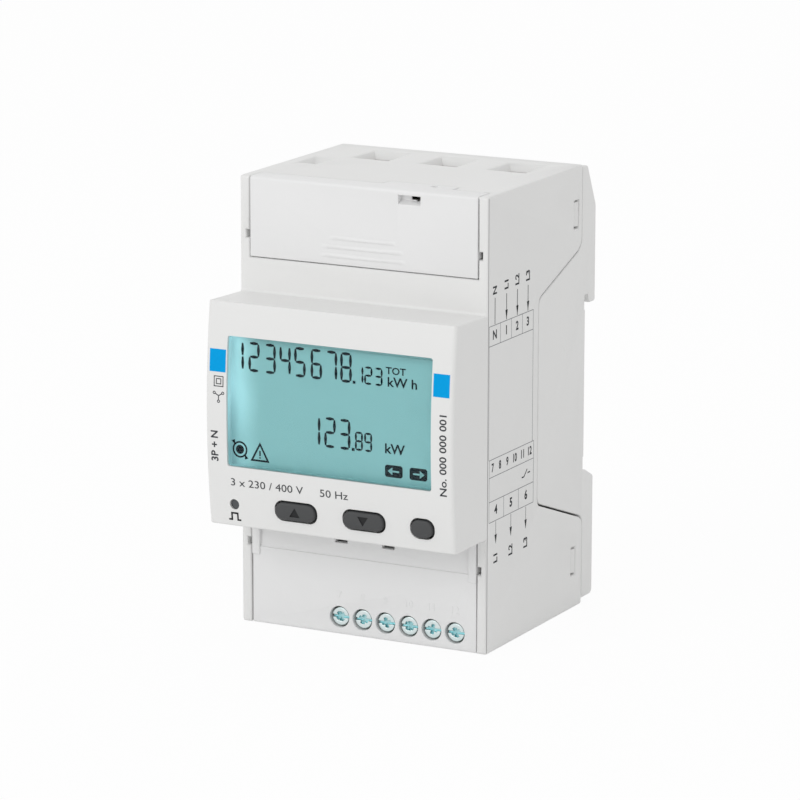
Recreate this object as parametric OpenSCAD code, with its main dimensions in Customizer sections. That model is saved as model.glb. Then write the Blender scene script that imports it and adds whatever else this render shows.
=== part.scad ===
// DIN rail energy meter: bowed nose with display and keys, two wiring shoulders, rail seat behind.
// X points right, Y points from the front to the wall, Z points up.
// The origin is the middle of the face that seats on the rail.

/* [Housing] */
// Width of the front housing, three 18 mm modules
body_w = 54; // [52.5:0.5:57]
// Height of the front housing
body_h = 90; // [89:0.5:94]
// Depth from the rail seat to the shoulder face
body_d = 44; // [43.5:0.5:47]
// Wall thickness of the front housing
wall = 2; // [1.8:0.1:2.1]
// Gap between two mouldings that meet
fit_gap = 0.2; // [0.1:0.05:0.25]
// Radius of the long outer edges of the shoulders
edge_r = 0.6; // [0.3:0.1:1]

/* [Nose] */
// How far the nose stands out of the shoulder at mid height
nose_d = 14.3; // [14:0.1:16]
// Height of the nose
nose_h = 44.5; // [44:0.5:46]
// Height of the nose's middle above the rail's middle
nose_z = 0.25; // [0:0.05:0.5]
// Radius of the bowed front, which curves about a level axis
bow_r = 165; // [150:5:220]
// Drop of the nose roof from its front edge to the shoulder
roof_drop = 0.5; // [0:0.1:0.8]
// Radius of the nose's upright front edges
nose_edge_r = 0.9; // [0.4:0.1:1.2]
// Radius of the cove between the nose roof and the shoulder
roof_cove = 0.6; // [0.3:0.1:0.9]

/* [Rear base] */
// Depth of the hook and of the clip block behind the rail seat
hook_d = 4.5; // [4.3:0.1:5]
// Width that the rear base stays inside the front housing on each side
base_inset = 0.1; // [0.05:0.05:0.2]
// Gap at the seam between the front housing and the rear base
seam_gap = 0.3; // [0.2:0.05:0.35]
// Wall thickness of the rear base
base_wall = 2.2; // [2:0.1:2.4]
// Distance that the base's top stays below the housing's top
base_top_step = 0.5; // [0.3:0.1:1]
// Distance that the base's bottom stays above the housing's bottom
base_bottom_step = 1; // [0.5:0.1:1.5]
// Distance from the rail seat forward to the seam at the top
seam_top_d = 2; // [1.8:0.1:2.2]
// Distance from the rail seat forward to the seam at the bottom
seam_bottom_d = 0.7; // [0.6:0.1:1]
// Distance from the shoulder face back to the seam's waist
waist_drop = 22.5; // [21:0.5:24]
// Height of the upper slanted seam at the back
seam_high_z = 28.6; // [28:0.1:29]
// Height of the upper slanted seam at the waist
waist_high_z = 21.4; // [20.5:0.1:22]
// Depth below the rail's middle of the lower slanted seam at the waist
waist_low_z = 20; // [19:0.1:21]
// Depth below the rail's middle of the lower slanted seam at the back
seam_low_z = 27.2; // [26:0.1:28]
// Height of the hook's lip above the rail's middle
hook_z = 16.5; // [16:0.1:16.8]
// Half the height of the rail that the seat takes
rail_half_h = 17.5; // [17.3:0.1:17.7]

/* [Wire terminals] */
// How much closer two mains terminals stand than two modules
module_loss = 2.9; // [2.7:0.1:3.2]
// Distance of the middle mains terminal from the housing's middle
line_x = 1.9; // [1.5:0.1:2]
// Distance from the rail seat forward to the mains wires
wire_d = 11.2; // [10.8:0.1:11.5]
// Width of the solid strip between two mains funnels
funnel_gap = 6.8; // [6.2:0.1:7.2]
// Depth of a mains funnel at the outer face, front to back
funnel_d = 9.7; // [9:0.1:10.4]
// How much narrower the hole at the funnel's bottom is
funnel_taper = 1.9; // [1.3:0.1:2.1]
// Depth of the hole at the funnel's bottom, front to back
entry_d = 7.5; // [7.3:0.1:7.8]
// Width between two clamp cages
cage_gap = 4.7; // [4.3:0.1:5.1]
// Depth of a clamp cage, front to back
cage_d = 11.6; // [11.4:0.1:12]
// Height of a clamp cage
cage_h = 12.8; // [12.4:0.1:13]
// Side wall of a clamp cage
cage_wall = 1.3; // [1.1:0.1:1.5]
// Front and back wall of a clamp cage
cage_end = 2; // [1.8:0.1:2.1]
// Distance of the mains clamp screws from the outer face
screw_drop = 12; // [11.6:0.1:12.4]
// Radius of a mains clamp screw's thread
screw_r = 2.5; // [2.3:0.1:2.6]
// Radius of a mains clamp screw's head
screw_head_r = 3; // [2.8:0.05:3.1]
// Radius of the tool tunnel in front of a clamp screw
tunnel_r = 3.3; // [3.2:0.05:3.4]
// Wall of the tool tunnel
tunnel_wall = 0.7; // [0.6:0.05:0.75]
// Distance from the shoulder face back to the terminal blocks' inner plate
plate_drop = 15.6; // [15.2:0.1:15.8]
// Thickness of the terminal blocks' plates and floor
block_wall = 1.4; // [1.2:0.1:1.5]
// Width of a current bar as a share of its sensor's hole
bar_share = 0.64; // [0.58:0.01:0.66]
// Thickness of a current bar
bar_t = 1.6; // [1.2:0.1:1.7]

/* [Neutral terminal] */
// Distance of the neutral terminal from the left side
neutral_side = 5; // [4.9:0.05:5.1]
// Distance from the terminal blocks' inner plate back to the neutral wire
neutral_drop = 6; // [5.6:0.1:6.2]
// Width of the neutral funnel
neutral_w = 4.4; // [4:0.1:4.8]
// Depth of the neutral funnel, front to back
neutral_funnel_d = 7.7; // [7:0.1:8.4]
// Width of the neutral clamp cage
neutral_cage_w = 4.2; // [4:0.1:4.3]
// Depth of the neutral clamp cage, front to back
neutral_cage_d = 6.8; // [6.4:0.1:7]

/* [Signal terminals] */
// Number of signal terminals
signal_n = 6; // [4:1:6]
// Distance between two signal terminals
signal_pitch = 5.08; // [5:0.02:5.16]
// Distance of the last signal screw from the right side
signal_side = 6.9; // [6.4:0.1:7.1]
// Height of the signal screws above the housing's bottom
signal_z = 3.5; // [3.3:0.1:3.7]
// Radius of a signal screw's head
signal_head_r = 1.95; // [1.85:0.05:2]
// Height of the signal terminal block
signal_h = 7.3; // [7:0.1:7.4]

/* [Terminal covers] */
// Height of the upper cover
cover_h = 15.9; // [15.5:0.1:16.4]
// Thickness of both covers
cover_t = 2; // [1.8:0.1:2.1]
// Depth of the upper cover's lip over the top face
lip_d = 4.7; // [4.3:0.1:5.2]
// Thickness of the lip
lip_t = 1.6; // [1.4:0.1:1.8]
// Left end of the sealing tab on the lip
tab_x0 = 2; // [1:0.5:3]
// Right end of the sealing tab on the lip
tab_x1 = 17; // [16:0.5:18]
// How far the sealing tab reaches behind the lip
tab_d = 2.8; // [2.4:0.1:3.2]
// Setback of the lower cover behind the shoulder face
low_setback = 0.3; // [0.2:0.1:0.5]
// Height of the sloped band at the top of the lower cover
band_h = 7.1; // [6.6:0.1:7.5]
// How far the band slopes in at its top
band_in = 1; // [0.6:0.1:1.2]

/* [Display] */
// Width of the nose front on each side of the display opening
window_side = 4.75; // [4.25:0.25:5.25]
// Height of the nose front above the display opening
window_above = 6.5; // [6.1:0.1:6.9]
// Height of the nose front below the display opening
window_below = 12.2; // [11.8:0.1:12.6]
// Setback of the clear window behind the nose front
window_setback = 0.35; // [0.2:0.05:0.5]
// How far the display glass reaches past the opening on each side
glass_edge = 1.95; // [1.75:0.05:2.05]
// How far the display glass reaches past the opening above and below
glass_over = 1.9; // [1.7:0.05:2]
// Thickness of the display glass
glass_t = 2.6; // [2.2:0.1:2.8]
// Thickness of the backlight
light_t = 3; // [2.6:0.1:3.2]
// Thickness of the circuit boards
board_t = 1.6; // [1.2:0.1:1.8]

/* [Keys] */
// How much narrower a long key opening is than a module
key_narrow = 8.6; // [8.2:0.1:9]
// Width of the short key opening
small_key_w = 5.3; // [5:0.1:5.6]
// Height of the key openings
key_h = 4.2; // [4:0.1:4.3]
// Radius of the key openings' corners
key_r = 1.9; // [1.5:0.1:1.95]
// Height of the keys' middle above the nose's bottom
key_rise = 4.5; // [4.4:0.1:4.8]
// Width of the nose front between the two long keys
key_space = 5.5; // [5:0.1:6]
// Distance of the short key's middle from the right side
small_key_side = 6.95; // [6.7:0.05:7.1]
// Gap round a key
key_gap = 0.28; // [0.2:0.02:0.34]
// How far a key stands out of the nose front
key_proud = 0.6; // [0.4:0.1:0.8]
// Travel of a key
key_travel = 0.35; // [0.25:0.05:0.4]
// Distance of the pulse light from the left side
pulse_side = 5.9; // [5.8:0.1:6.1]
// Radius of the pulse light's hole
pulse_r = 1.05; // [0.9:0.05:1.2]

/* [Rail clip] */
// Half the width of the rail clip
clip_half_w = 8; // [7:0.5:9]
// Width of the runner on each side of the clip
runner_w = 1.6; // [1.4:0.1:1.8]
// How far the clip's nose reaches above the clip block
clip_nose = 2.2; // [2:0.1:2.4]
// Distance that the clip pulls down
clip_travel = 4; // [3:0.5:4.5]
// Radius of the clip spring's wire
spring_wire_r = 0.22; // [0.18:0.01:0.25]
// Radius of the clip spring at the middle of its wire
spring_r = 1.3; // [1.2:0.05:1.35]
// Turns of the clip spring
spring_turns = 7; // [6:1:8]

/* [Inner parts] */
// Gap between two current sensor rings
sensor_gap = 1.5; // [1.1:0.1:1.8]
// Wall of a current sensor ring
sensor_wall = 2.5; // [2.3:0.1:2.6]
// Height of a current sensor ring
sensor_h = 9; // [8:0.5:10]
// Radius of the supply capacitors
capacitor_r = 4; // [3.5:0.1:4.2]

/* [Hidden] */
$fn = 48;

// Overall faces
top_z = body_h / 2;
bottom_z = -body_h / 2;
half_w = body_w / 2;
inner_half_w = half_w - wall;
shoulder_y = -body_d;
nose_y = shoulder_y - nose_d;
nose_top = nose_z + nose_h / 2;
nose_bottom = nose_z - nose_h / 2;
bow_y = nose_y + bow_r;
roof_z = top_z - wall;
floor_z = bottom_z + wall;
module_w = body_w / 3;
past = 3;
sink = 0.01;

// Seam between the front housing and the rear base
seam_top_r = 3;
seam_r = 2;
waist_d = body_d - waist_drop;
base_half_w = half_w - base_inset;
base_top = top_z - base_top_step;
base_bottom = bottom_z + base_bottom_step;
relief = 0.3;
back_slope_z = top_z - 9;
back_slope_in = 1.5;
hook_top_z = rail_half_h + 0.9;

// Upper cover and the cut-out that it fills
cover_bottom = top_z - cover_h;
cover_back_y = shoulder_y + cover_t;
lip_back_y = shoulder_y + lip_d;
cover_half_w = inner_half_w - fit_gap;
tab_back_y = lip_back_y + tab_d;
tab_x = (tab_x0 + tab_x1) / 2;
grip_pitch = 1.75;
grip_half_ls = [9.5, 9.2, 7.5];

// Lower cover
low_front_y = shoulder_y + low_setback;
low_back_y = low_front_y + cover_t;
low_top = nose_bottom - fit_gap;

// Terminal blocks
line_pitch = module_w - module_loss;
funnel_w = line_pitch - funnel_gap;
entry_w = funnel_w - funnel_taper;
cage_w = line_pitch - cage_gap;
plate_d = body_d - plate_drop;
deck_drop = 4;
deck_front_y = shoulder_y + deck_drop;
deck_back_y = deck_front_y + block_wall;
plate_back_y = -plate_d;
plate_front_y = plate_back_y - block_wall;
cage_top = roof_z - 2 * fit_gap;
cage_bottom = cage_top - cage_h;
block_floor = cage_bottom - fit_gap - block_wall;
block_half_w = inner_half_w - fit_gap - 0.1;
cage_front_y = -wire_d - cage_d / 2;
cage_back_y = -wire_d + cage_d / 2;
clamp_z = top_z - screw_drop;
tunnel_out_r = tunnel_r + tunnel_wall;
lip_in = 0.3;
lip_r = screw_head_r - lip_in;
latch_drop = 9.6;
latch_z = top_z - latch_drop;
latch_h = 5.8;
latch_w = 2.1;
latch_back = 2.65;
latch_y = -seam_top_d - latch_back;
latch_end = 1.5;
latch_end_y = latch_y - latch_w / 2 - latch_end;
latch_room = 0.7;
side_end_y = latch_end_y - latch_room;
notch_up = 4.4;
notch_z = cover_bottom + notch_up;
low_notch_down = 6.4;
low_notch_z = nose_bottom - low_notch_down;
notch_w = 1.6;
notch_d = 3.8;
notch_h = 1.6;
prong_w = 2;
prong_h = 3;
prong_up = 6.2;
prong_z = clamp_z + prong_up;
low_prong_up = 1.2;
low_prong_z = -clamp_z + low_prong_up;
prong_xs = [for (s = [-0.5, 0.5]) line_x + s * line_pitch];
line_xs = [for (i = [-1:1]) line_x + i * line_pitch];
bar_y = -wire_d + cage_d / 2 - cage_end - bar_t;
bar_end = 1;
tip_out = 0.4;

// Current sensor rings round the bars
sensor_r = (line_pitch - sensor_gap) / 2;
sensor_hole_r = sensor_r - sensor_wall;
sensor_back = 1.2;
sensor_y = -base_wall - sensor_back - sensor_r;
bar_w = 2 * bar_share * sensor_hole_r;

// Neutral terminal
neutral_x = half_w - neutral_side;
neutral_d = plate_d - neutral_drop;
neutral_wall = 0.8;
neutral_end = 1;
link_w = 1.2;
link_t = 0.8;
link_reach = 2;
neutral_front_y = -neutral_d - neutral_cage_d / 2 + 0.2;
neutral_head_r = 1.9;
neutral_thread_r = 1.3;

// Display stack, from the window back
function bow_front(r, z) = bow_y - sqrt(r * r - z * z);
window_h = nose_h - window_above - window_below;
window_z = nose_bottom + window_below + window_h / 2;
glass_h = window_h + 2 * glass_over;
window_w = body_w - 2 * window_side;
glass_w = window_w + 2 * glass_edge;
glass_play = 0.15;
glass_y = bow_front(bow_r - wall, window_z + glass_h / 2) + glass_play;
light_y = glass_y + glass_t;
board_y = light_y + light_t + fit_gap;
board_back_y = board_y + board_t;
frame_half_w = inner_half_w - fit_gap;
frame_play = 0.1;
frame_wall = frame_half_w - glass_w / 2 - frame_play;
strip_in = 1.4;
strip_h = 2.2;
rib_x = inner_half_w - 9;
rib_w = 2;

// Keys, as left end, width and node order
key_z = -nose_bottom - key_rise;
key_w = module_w - key_narrow;
key_x = (key_w + key_space) / 2;
small_key_x = half_w - small_key_side;
pulse_x = half_w - pulse_side;
key_front_y = bow_front(bow_r, key_z) - key_proud;
key_flange_y = bow_front(bow_r - wall, key_z + key_h / 2) + glass_play;
key_flange_t = 0.9;
key_rim = 1;
plunger_r = 1.3;
plunger_h = 0.4;
plunger_play = 0.05;
switch_top_y = key_flange_y + key_flange_t + plunger_h + key_travel + plunger_play;
switch_w = 6;
switch_r = 1.6;
switch_h = 0.8;
key_xs = [-key_x, key_x, small_key_x];
key_ws = [key_w, key_w, small_key_w];

// Posts that carry the display board, midway between the keys and the pulse light
post_xs = [-(key_x + key_w / 2 + pulse_x) / 2, (key_x + key_w / 2 + small_key_x - small_key_w / 2) / 2];
post_z = -key_z + 1;
post_r = 1.4;
post_hole_r = 0.8;
board_hole_r = 0.9;

// Main board and signal terminals
main_back_y = plate_front_y - fit_gap;
main_y = main_back_y - board_t;
main_gap = 2;
main_top = block_floor - main_gap;
signal_xs = [for (i = [signal_n - 1:-1:0]) half_w - signal_side - i * signal_pitch];
signal_margin = 2.7;
signal_x0 = signal_xs[0] - signal_margin;
signal_x1 = signal_xs[signal_n - 1] + signal_margin;
signal_front_y = low_back_y + 0.5;
signal_bottom = bottom_z + 0.4;
signal_top = signal_bottom + signal_h;
signal_screw_z = bottom_z + signal_z;
signal_hole_r = signal_head_r + 0.2;
signal_thread_r = 1;
signal_cage_w = 3.2;
signal_cage_d = 5;
signal_end = 0.8;
signal_cage_y0 = signal_front_y + 1.2;
signal_cage_y1 = signal_cage_y0 + signal_cage_d;

// Parts on the main board, placed between the lower tool tunnels and the board's top
board_low = -clamp_z + tunnel_out_r;
board_run = main_top - board_low;
header_z = board_low + 0.725 * board_run;
header_n = 8;
header_pitch = 2.54;
header_h = 2.5;
pin_w = 0.64;
coil_w = 13;
coil_h = 8;
coil_d = 8.6;
core_w = 7;
core_h = 12;
core_d = 9.4;
core_lift = 0.8;
core_x = 5.5;
core_z = board_low + 0.362 * board_run;
capacitor_h = 10;
capacitor_x = 12;
capacitor_pitch = 11;
capacitor_z = board_low + 0.471 * board_run;
disc_r = 4;
disc_t = 2.8;
disc_pitch = 8;
disc_lead_r = 0.4;
disc_lift = 0.9;
disc_z = main_top - disc_r - 1.5;
chip_w = 10;
chip_h = 8;
chip_t = 1.4;
chip_x = inner_half_w - 9;
chip_z = board_low + 0.6 * board_run;

// Rail clip and its spring
clip_block_top = -rail_half_h - 0.1;
groove_y = 0.65;
runner_y = 2.5;
clip_front_y = groove_y + 0.2;
clip_back_y = hook_d - 0.3;
clip_bottom = base_bottom + 0.4;
peg_top = clip_bottom + 9.4;
spring_min_l = 6.2;
spring_top = peg_top + spring_min_l + clip_travel;
peg_h = 1.6;
clip_window_w = 4.4;
spring_y = (clip_front_y + clip_back_y) / 2;

// Unit vector along v
function unit(v) = v / norm(v);

// Points of an arc of radius r that rounds the corner b between a and c
function corner(a, b, c, r, n) =
    r <= 0 ? [b] :
    let (
        u = unit(a - b),
        v = unit(c - b),
        half = acos(u * v) / 2,
        centre = b + unit(u + v) * r / sin(half),
        s = b + u * r / tan(half) - centre,
        e = b + v * r / tan(half) - centre,
        a0 = atan2(s.y, s.x),
        sweep = (atan2(e.y, e.x) - a0 + 540) % 360 - 180
    )
    [for (i = [0:n]) centre + r * [cos(a0 + sweep * i / n), sin(a0 + sweep * i / n)]];

// Outline through corners given as [x, y, radius]
function outline(p, n = 5) = [
    for (i = [0:len(p) - 1])
        let (
            a = p[(i + len(p) - 1) % len(p)],
            b = p[i],
            c = p[(i + 1) % len(p)]
        )
        each corner([a.x, a.y], [b.x, b.y], [c.x, c.y], b.z, n)
];

// Seam from the back top to the back bottom, drawn in by gap on the rear base's side
function seam(gap) = [
    [-seam_top_d + gap, seam_high_z - gap, seam_top_r],
    [-waist_d + gap, waist_high_z - gap, seam_r],
    [-waist_d + gap, -waist_low_z + gap, seam_r],
    [-seam_bottom_d + gap, -seam_low_z + gap, seam_r]
];

// Side view outline, given as Y and Z, run across the width w
module across(w) {
    rotate([90, 0, 90])
        linear_extrude(w, center = true)
            children();
}

// Front view outline, given as X and Z, run back from y0 to y1
module backwards(y0, y1) {
    translate([0, y1, 0])
        rotate([90, 0, 0])
            linear_extrude(y1 - y0)
                children();
}

// Box between two opposite corners
module block(a, b) {
    translate(a)
        cube(b - a);
}

// Round rod or bore along Y
module rod_y(x, z, y0, y1, r) {
    translate([x, y0, z])
        rotate([-90, 0, 0])
            cylinder(h = y1 - y0, r = r);
}

// Flat outline with four round corners
module round_rect(w, h, r) {
    square([w - 2 * r, h], center = true);
    square([w, h - 2 * r], center = true);
    for (sx = [-1, 1], sz = [-1, 1])
        translate([sx * (w / 2 - r), sz * (h / 2 - r)])
            circle(r);
}

// Solid inside the bow of radius r, across the width w, with its two outer edges rounded
module bow(r, w, edge = 0) {
    translate([0, bow_y, 0])
        rotate([0, 90, 0])
            rotate_extrude($fn = 180)
                polygon(outline([[0, -w / 2, 0], [r, -w / 2, edge], [r, w / 2, edge], [0, w / 2, 0]]));
}

// Four-sided funnel with its wide mouth at z = 0 and its neck at z = -depth
module funnel(mouth_w, mouth_d, neck_w, neck_d, depth) {
    intersection() {
        rotate([90, 0, 0])
            linear_extrude(mouth_d + past, center = true)
                funnel_side(mouth_w, neck_w, depth);
        rotate([90, 0, 90])
            linear_extrude(mouth_w + past, center = true)
                funnel_side(mouth_d, neck_d, depth);
    }
}

// Side view of a funnel, with a straight throat below its neck
module funnel_side(mouth, neck, depth) {
    rise = (mouth - neck) / 2;
    lift = sink * rise / depth;
    polygon([
        [-mouth / 2 - lift, sink], [mouth / 2 + lift, sink],
        [neck / 2, -depth + 0.4], [neck / 2, -depth - sink],
        [-neck / 2, -depth - sink], [-neck / 2, -depth + 0.4]
    ]);
}

// Everything that is placed once at the top and once at the bottom
module both_ends() {
    children();
    mirror([0, 0, 1])
        children();
}

// Outside of the front housing
module housing_outside() {
    across(body_w)
        polygon(outline(concat(
            [[shoulder_y, top_z, edge_r], [-seam_top_d, top_z, 0]],
            seam(0),
            [[-seam_bottom_d, bottom_z, 0], [shoulder_y, bottom_z, edge_r]]
        )));
    intersection() {
        across(body_w)
            polygon(outline([
                [nose_y - past, nose_bottom, 0],
                [nose_y - past, nose_top + roof_drop * past / nose_d, 0],
                [shoulder_y, nose_top - roof_drop, roof_cove],
                [shoulder_y, nose_top - roof_drop + 2 * roof_cove, 0],
                [shoulder_y + wall, nose_top - roof_drop + 2 * roof_cove, 0],
                [shoulder_y + wall, nose_bottom, 0]
            ]));
        bow(bow_r, body_w, nose_edge_r);
    }
}

// Space inside the front housing
module housing_inside() {
    block([-inner_half_w, cover_back_y, floor_z], [inner_half_w, past, roof_z]);
    intersection() {
        block(
            [-inner_half_w, nose_y, nose_bottom + wall],
            [inner_half_w, cover_back_y + sink, nose_top - roof_drop - wall]
        );
        bow(bow_r - wall, body_w);
    }
}

// Front cut-out for the upper cover, with the notch for its sealing tab
module upper_cutout() {
    block(
        [-inner_half_w, shoulder_y - past, cover_bottom - fit_gap],
        [inner_half_w, cover_back_y + sink, top_z + past]
    );
    block(
        [-inner_half_w, shoulder_y - past, roof_z - sink],
        [inner_half_w, lip_back_y + fit_gap, top_z + past]
    );
    block(
        [tab_x0 - fit_gap, shoulder_y, roof_z - sink],
        [tab_x1 + fit_gap, tab_back_y + fit_gap, top_z + past]
    );
}

// Front cut-out for the lower cover, and the opening for the signal terminals
module lower_cutout() {
    block(
        [-inner_half_w, shoulder_y - past, bottom_z - past],
        [inner_half_w, cover_back_y + sink, nose_bottom]
    );
    block(
        [-inner_half_w, shoulder_y - past, bottom_z - past],
        [inner_half_w, low_back_y + fit_gap, floor_z + sink]
    );
    block(
        [signal_x0 - fit_gap, shoulder_y - past, bottom_z - past],
        [signal_x1 + fit_gap, main_y + fit_gap, floor_z + sink]
    );
}

// Openings of the nose front: display, keys and pulse light
module nose_openings() {
    backwards(nose_y - past, nose_y + wall + past)
        translate([0, window_z])
            round_rect(window_w, window_h, 0.5);
    for (i = [0:2])
        backwards(nose_y - past, nose_y + wall + past)
            translate([key_xs[i], -key_z])
                round_rect(key_ws[i], key_h, key_r);
    rod_y(-pulse_x, -key_z, nose_y - past, nose_y + wall + past, pulse_r);
}

// Wire funnels of the top and bottom faces
module wire_funnels() {
    both_ends()
        for (x = line_xs)
            translate([x, -wire_d, top_z])
                funnel(funnel_w, funnel_d, entry_w, entry_d, wall);
    translate([-neutral_x, -neutral_d, top_z])
        funnel(neutral_w, neutral_funnel_d, neutral_w - 1.8, neutral_funnel_d - 3.5, wall);
}

// Pry notches beside the covers and latch windows near the seam
module side_cuts() {
    for (s = [-1, 1], z = [notch_z, low_notch_z])
        translate([s * inner_half_w, shoulder_y + notch_d / 2 - sink, z])
            cube([notch_w, notch_d, notch_h], center = true);
    for (s = [-1, 1])
        both_ends()
            translate([s * half_w, latch_y, latch_z])
                cube([3 * wall, latch_w, latch_h], center = true);
}

// Posts and ribs inside the nose that carry the display board
module board_posts() {
    for (x = post_xs)
        difference() {
            rod_y(x, post_z, bow_front(bow_r - wall / 2, key_z), board_y, post_r);
            rod_y(x, post_z, board_y - past, board_y + past, post_hole_r);
        }
    rib_z = nose_top - roof_drop - wall;
    for (x = [-rib_x, rib_x])
        block([x - rib_w / 2, glass_y + glass_t, rib_z - 0.9], [x + rib_w / 2, board_y, rib_z + wall / 2]);
}

// Screen behind the lower cover and ledge under the upper terminal block
module inner_ledges() {
    block(
        [-inner_half_w - sink, deck_front_y, -block_floor + fit_gap],
        [inner_half_w + sink, deck_back_y, nose_bottom + sink]
    );
    block(
        [-inner_half_w - sink, cover_back_y - sink, block_floor - fit_gap - wall],
        [inner_half_w + sink, deck_back_y, block_floor - fit_gap]
    );
}

module front_housing() {
    color("gainsboro") {
        difference() {
            housing_outside();
            housing_inside();
            upper_cutout();
            lower_cutout();
            nose_openings();
            wire_funnels();
            side_cuts();
        }
        board_posts();
        inner_ledges();
    }
}

// Side view of the rear base, with the rail channel, the hook and the clip block
module base_side() {
    seat_high_z = hook_z - 1;
    seat_low_z = clip_block_top + clip_nose + 0.6;
    polygon(outline(concat(
        [
            [-seam_top_d + seam_gap, base_top, 0],
            [0.6, base_top, 0.8],
            [hook_d, back_slope_z, 2],
            [hook_d, hook_z, 0.5],
            [2.1, hook_z, 0.3],
            [1.3, hook_top_z, 0.2],
            [-relief, hook_top_z, 0.2],
            [-relief, seat_high_z, 0],
            [0, seat_high_z, 0],
            [0, seat_low_z, 0],
            [-relief, seat_low_z, 0],
            [-relief, clip_block_top, 0.2],
            [1, clip_block_top, 0.3],
            [hook_d, clip_block_top - 1.8, 0.8],
            [hook_d, base_bottom, 1],
            [-seam_bottom_d + seam_gap, base_bottom, 0]
        ],
        [for (i = [3:-1:0]) seam(seam_gap)[i]]
    )));
}

// Groove with side runners that guides the rail clip
module clip_groove() {
    block(
        [-clip_half_w - fit_gap, groove_y, base_bottom - past],
        [clip_half_w + fit_gap, hook_d + past, clip_block_top + sink]
    );
    block(
        [-clip_half_w - runner_w - fit_gap, groove_y, base_bottom - past],
        [clip_half_w + runner_w + fit_gap, runner_y, clip_block_top + sink]
    );
}

// Space inside the rear base
module base_inside() {
    cavity_half_w = base_half_w - base_wall;
    across(2 * cavity_half_w)
        polygon([
            [-waist_d - past, base_top - base_wall],
            [0.6 - base_wall, base_top - base_wall],
            [hook_d - base_wall, back_slope_z - back_slope_in],
            [hook_d - base_wall, hook_top_z + base_wall],
            [-base_wall, hook_top_z + base_wall],
            [-base_wall, base_bottom + base_wall],
            [-waist_d - past, base_bottom + base_wall]
        ]);
    core_x = clip_half_w + runner_w + fit_gap + base_wall;
    for (s = [0, 1])
        mirror([s, 0, 0])
            block(
                [core_x, -base_wall - sink, base_bottom + base_wall],
                [cavity_half_w, hook_d - base_wall, clip_block_top - base_wall - 1.2]
            );
}

// Latch tongue that snaps into a window of the front housing
module latch_tongue() {
    tongue_x = inner_half_w - fit_gap;
    tongue_t = 1;
    tongue_root = 1;
    nib_in = 0.7;
    half_h = latch_h / 2 - fit_gap;
    block([tongue_x - tongue_t, latch_end_y, latch_z - half_h], [tongue_x, tongue_root, latch_z + half_h]);
    block(
        [tongue_x - tongue_t, -seam_bottom_d + seam_gap, latch_z - half_h],
        [base_half_w - tongue_root, tongue_root, latch_z + half_h]
    );
    block(
        [tongue_x - sink, latch_y - latch_w / 2 + fit_gap, latch_z - half_h],
        [half_w - nib_in, latch_y + latch_w / 2 - fit_gap, latch_z + half_h]
    );
}

module rear_base() {
    color("gainsboro") {
        difference() {
            across(2 * base_half_w)
                base_side();
            base_inside();
            clip_groove();
        }
        for (s = [0, 1])
            mirror([s, 0, 0])
                both_ends()
                    latch_tongue();
        for (x = line_xs)
            block(
                [x - sensor_hole_r / 2, sensor_y + sensor_r + fit_gap, -sensor_h / 3],
                [x + sensor_hole_r / 2, -base_wall + sink, sensor_h / 3]
            );
        block(
            [-clip_window_w / 2 + 0.5, groove_y - sink, peg_top - peg_h],
            [clip_window_w / 2 - 0.5, clip_back_y - 0.2, peg_top]
        );
    }
}

// Soft grip rib above the upper cover's lower edge, which fades out at both ends
module grip_rib(up, half_l) {
    rib_h = 0.32;
    rib_r = (half_l * half_l + rib_h * rib_h) / (2 * rib_h);
    z = cover_bottom + up;
    intersection() {
        translate([0, shoulder_y - rib_h + rib_r, z - grip_pitch / 2])
            cylinder(h = grip_pitch, r = rib_r, $fn = 180);
        across(2 * half_l)
            polygon(outline([
                [shoulder_y + 0.2, z - 0.7, 0],
                [shoulder_y - rib_h - 0.1, z - 0.1, 0.3],
                [shoulder_y + 0.2, z + 0.8, 0]
            ]));
    }
}

module upper_terminal_cover() {
    color("whitesmoke") {
        difference() {
            union() {
                across(2 * cover_half_w)
                    polygon(outline([
                        [shoulder_y, cover_bottom, 0],
                        [shoulder_y, top_z, edge_r],
                        [lip_back_y, top_z, 0],
                        [lip_back_y, top_z - lip_t, 0],
                        [cover_back_y, top_z - lip_t, 0],
                        [cover_back_y, cover_bottom, 0]
                    ]));
                block([tab_x0, lip_back_y - sink, top_z - lip_t], [tab_x1, tab_back_y, top_z]);
            }
            seal_window();
            translate([tab_x + 3, tab_back_y - tab_d / 2, top_z - lip_t - sink])
                cylinder(h = lip_t + 2 * sink, r = 0.7);
        }
        for (i = [0:2])
            grip_rib((i + 1) * grip_pitch, grip_half_ls[i]);
        cover_prongs(prong_z, cover_back_y);
    }
}

// Slanted pocket with the hole of a sealing wire in its back
module seal_window() {
    pocket_w = 4.8;
    pocket_back_y = cover_back_y - 0.5;
    pocket_top = top_z - 1.1;
    pocket_bottom = top_z - 2.9;
    pocket_rise = 0.7;
    pocket_x = tab_x + 0.6;
    wire_hole_r = 0.35;
    wire_hole_drop = 0.9;
    translate([pocket_x, 0, 0])
        across(pocket_w)
            polygon([
                [shoulder_y - past, pocket_top],
                [pocket_back_y, pocket_top],
                [pocket_back_y, pocket_bottom + pocket_rise],
                [shoulder_y, pocket_bottom],
                [shoulder_y - past, pocket_bottom]
            ]);
    rod_y(
        pocket_x + pocket_w / 4, pocket_top - wire_hole_drop,
        shoulder_y, cover_back_y + past, wire_hole_r
    );
}

// Two guide prongs that enter the slots of the terminal block's deck
module cover_prongs(z, y0) {
    for (x = prong_xs)
        block(
            [x - prong_w / 2, y0 - sink, z - prong_h / 2],
            [x + prong_w / 2, deck_back_y + block_wall, z + prong_h / 2]
        );
}

// Slots of a terminal block's deck for the guide prongs
module prong_slots(z) {
    for (x = prong_xs)
        translate([x, deck_front_y, z])
            cube([prong_w + 2 * fit_gap, 3 * block_wall, prong_h + 2 * fit_gap], center = true);
}

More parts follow.
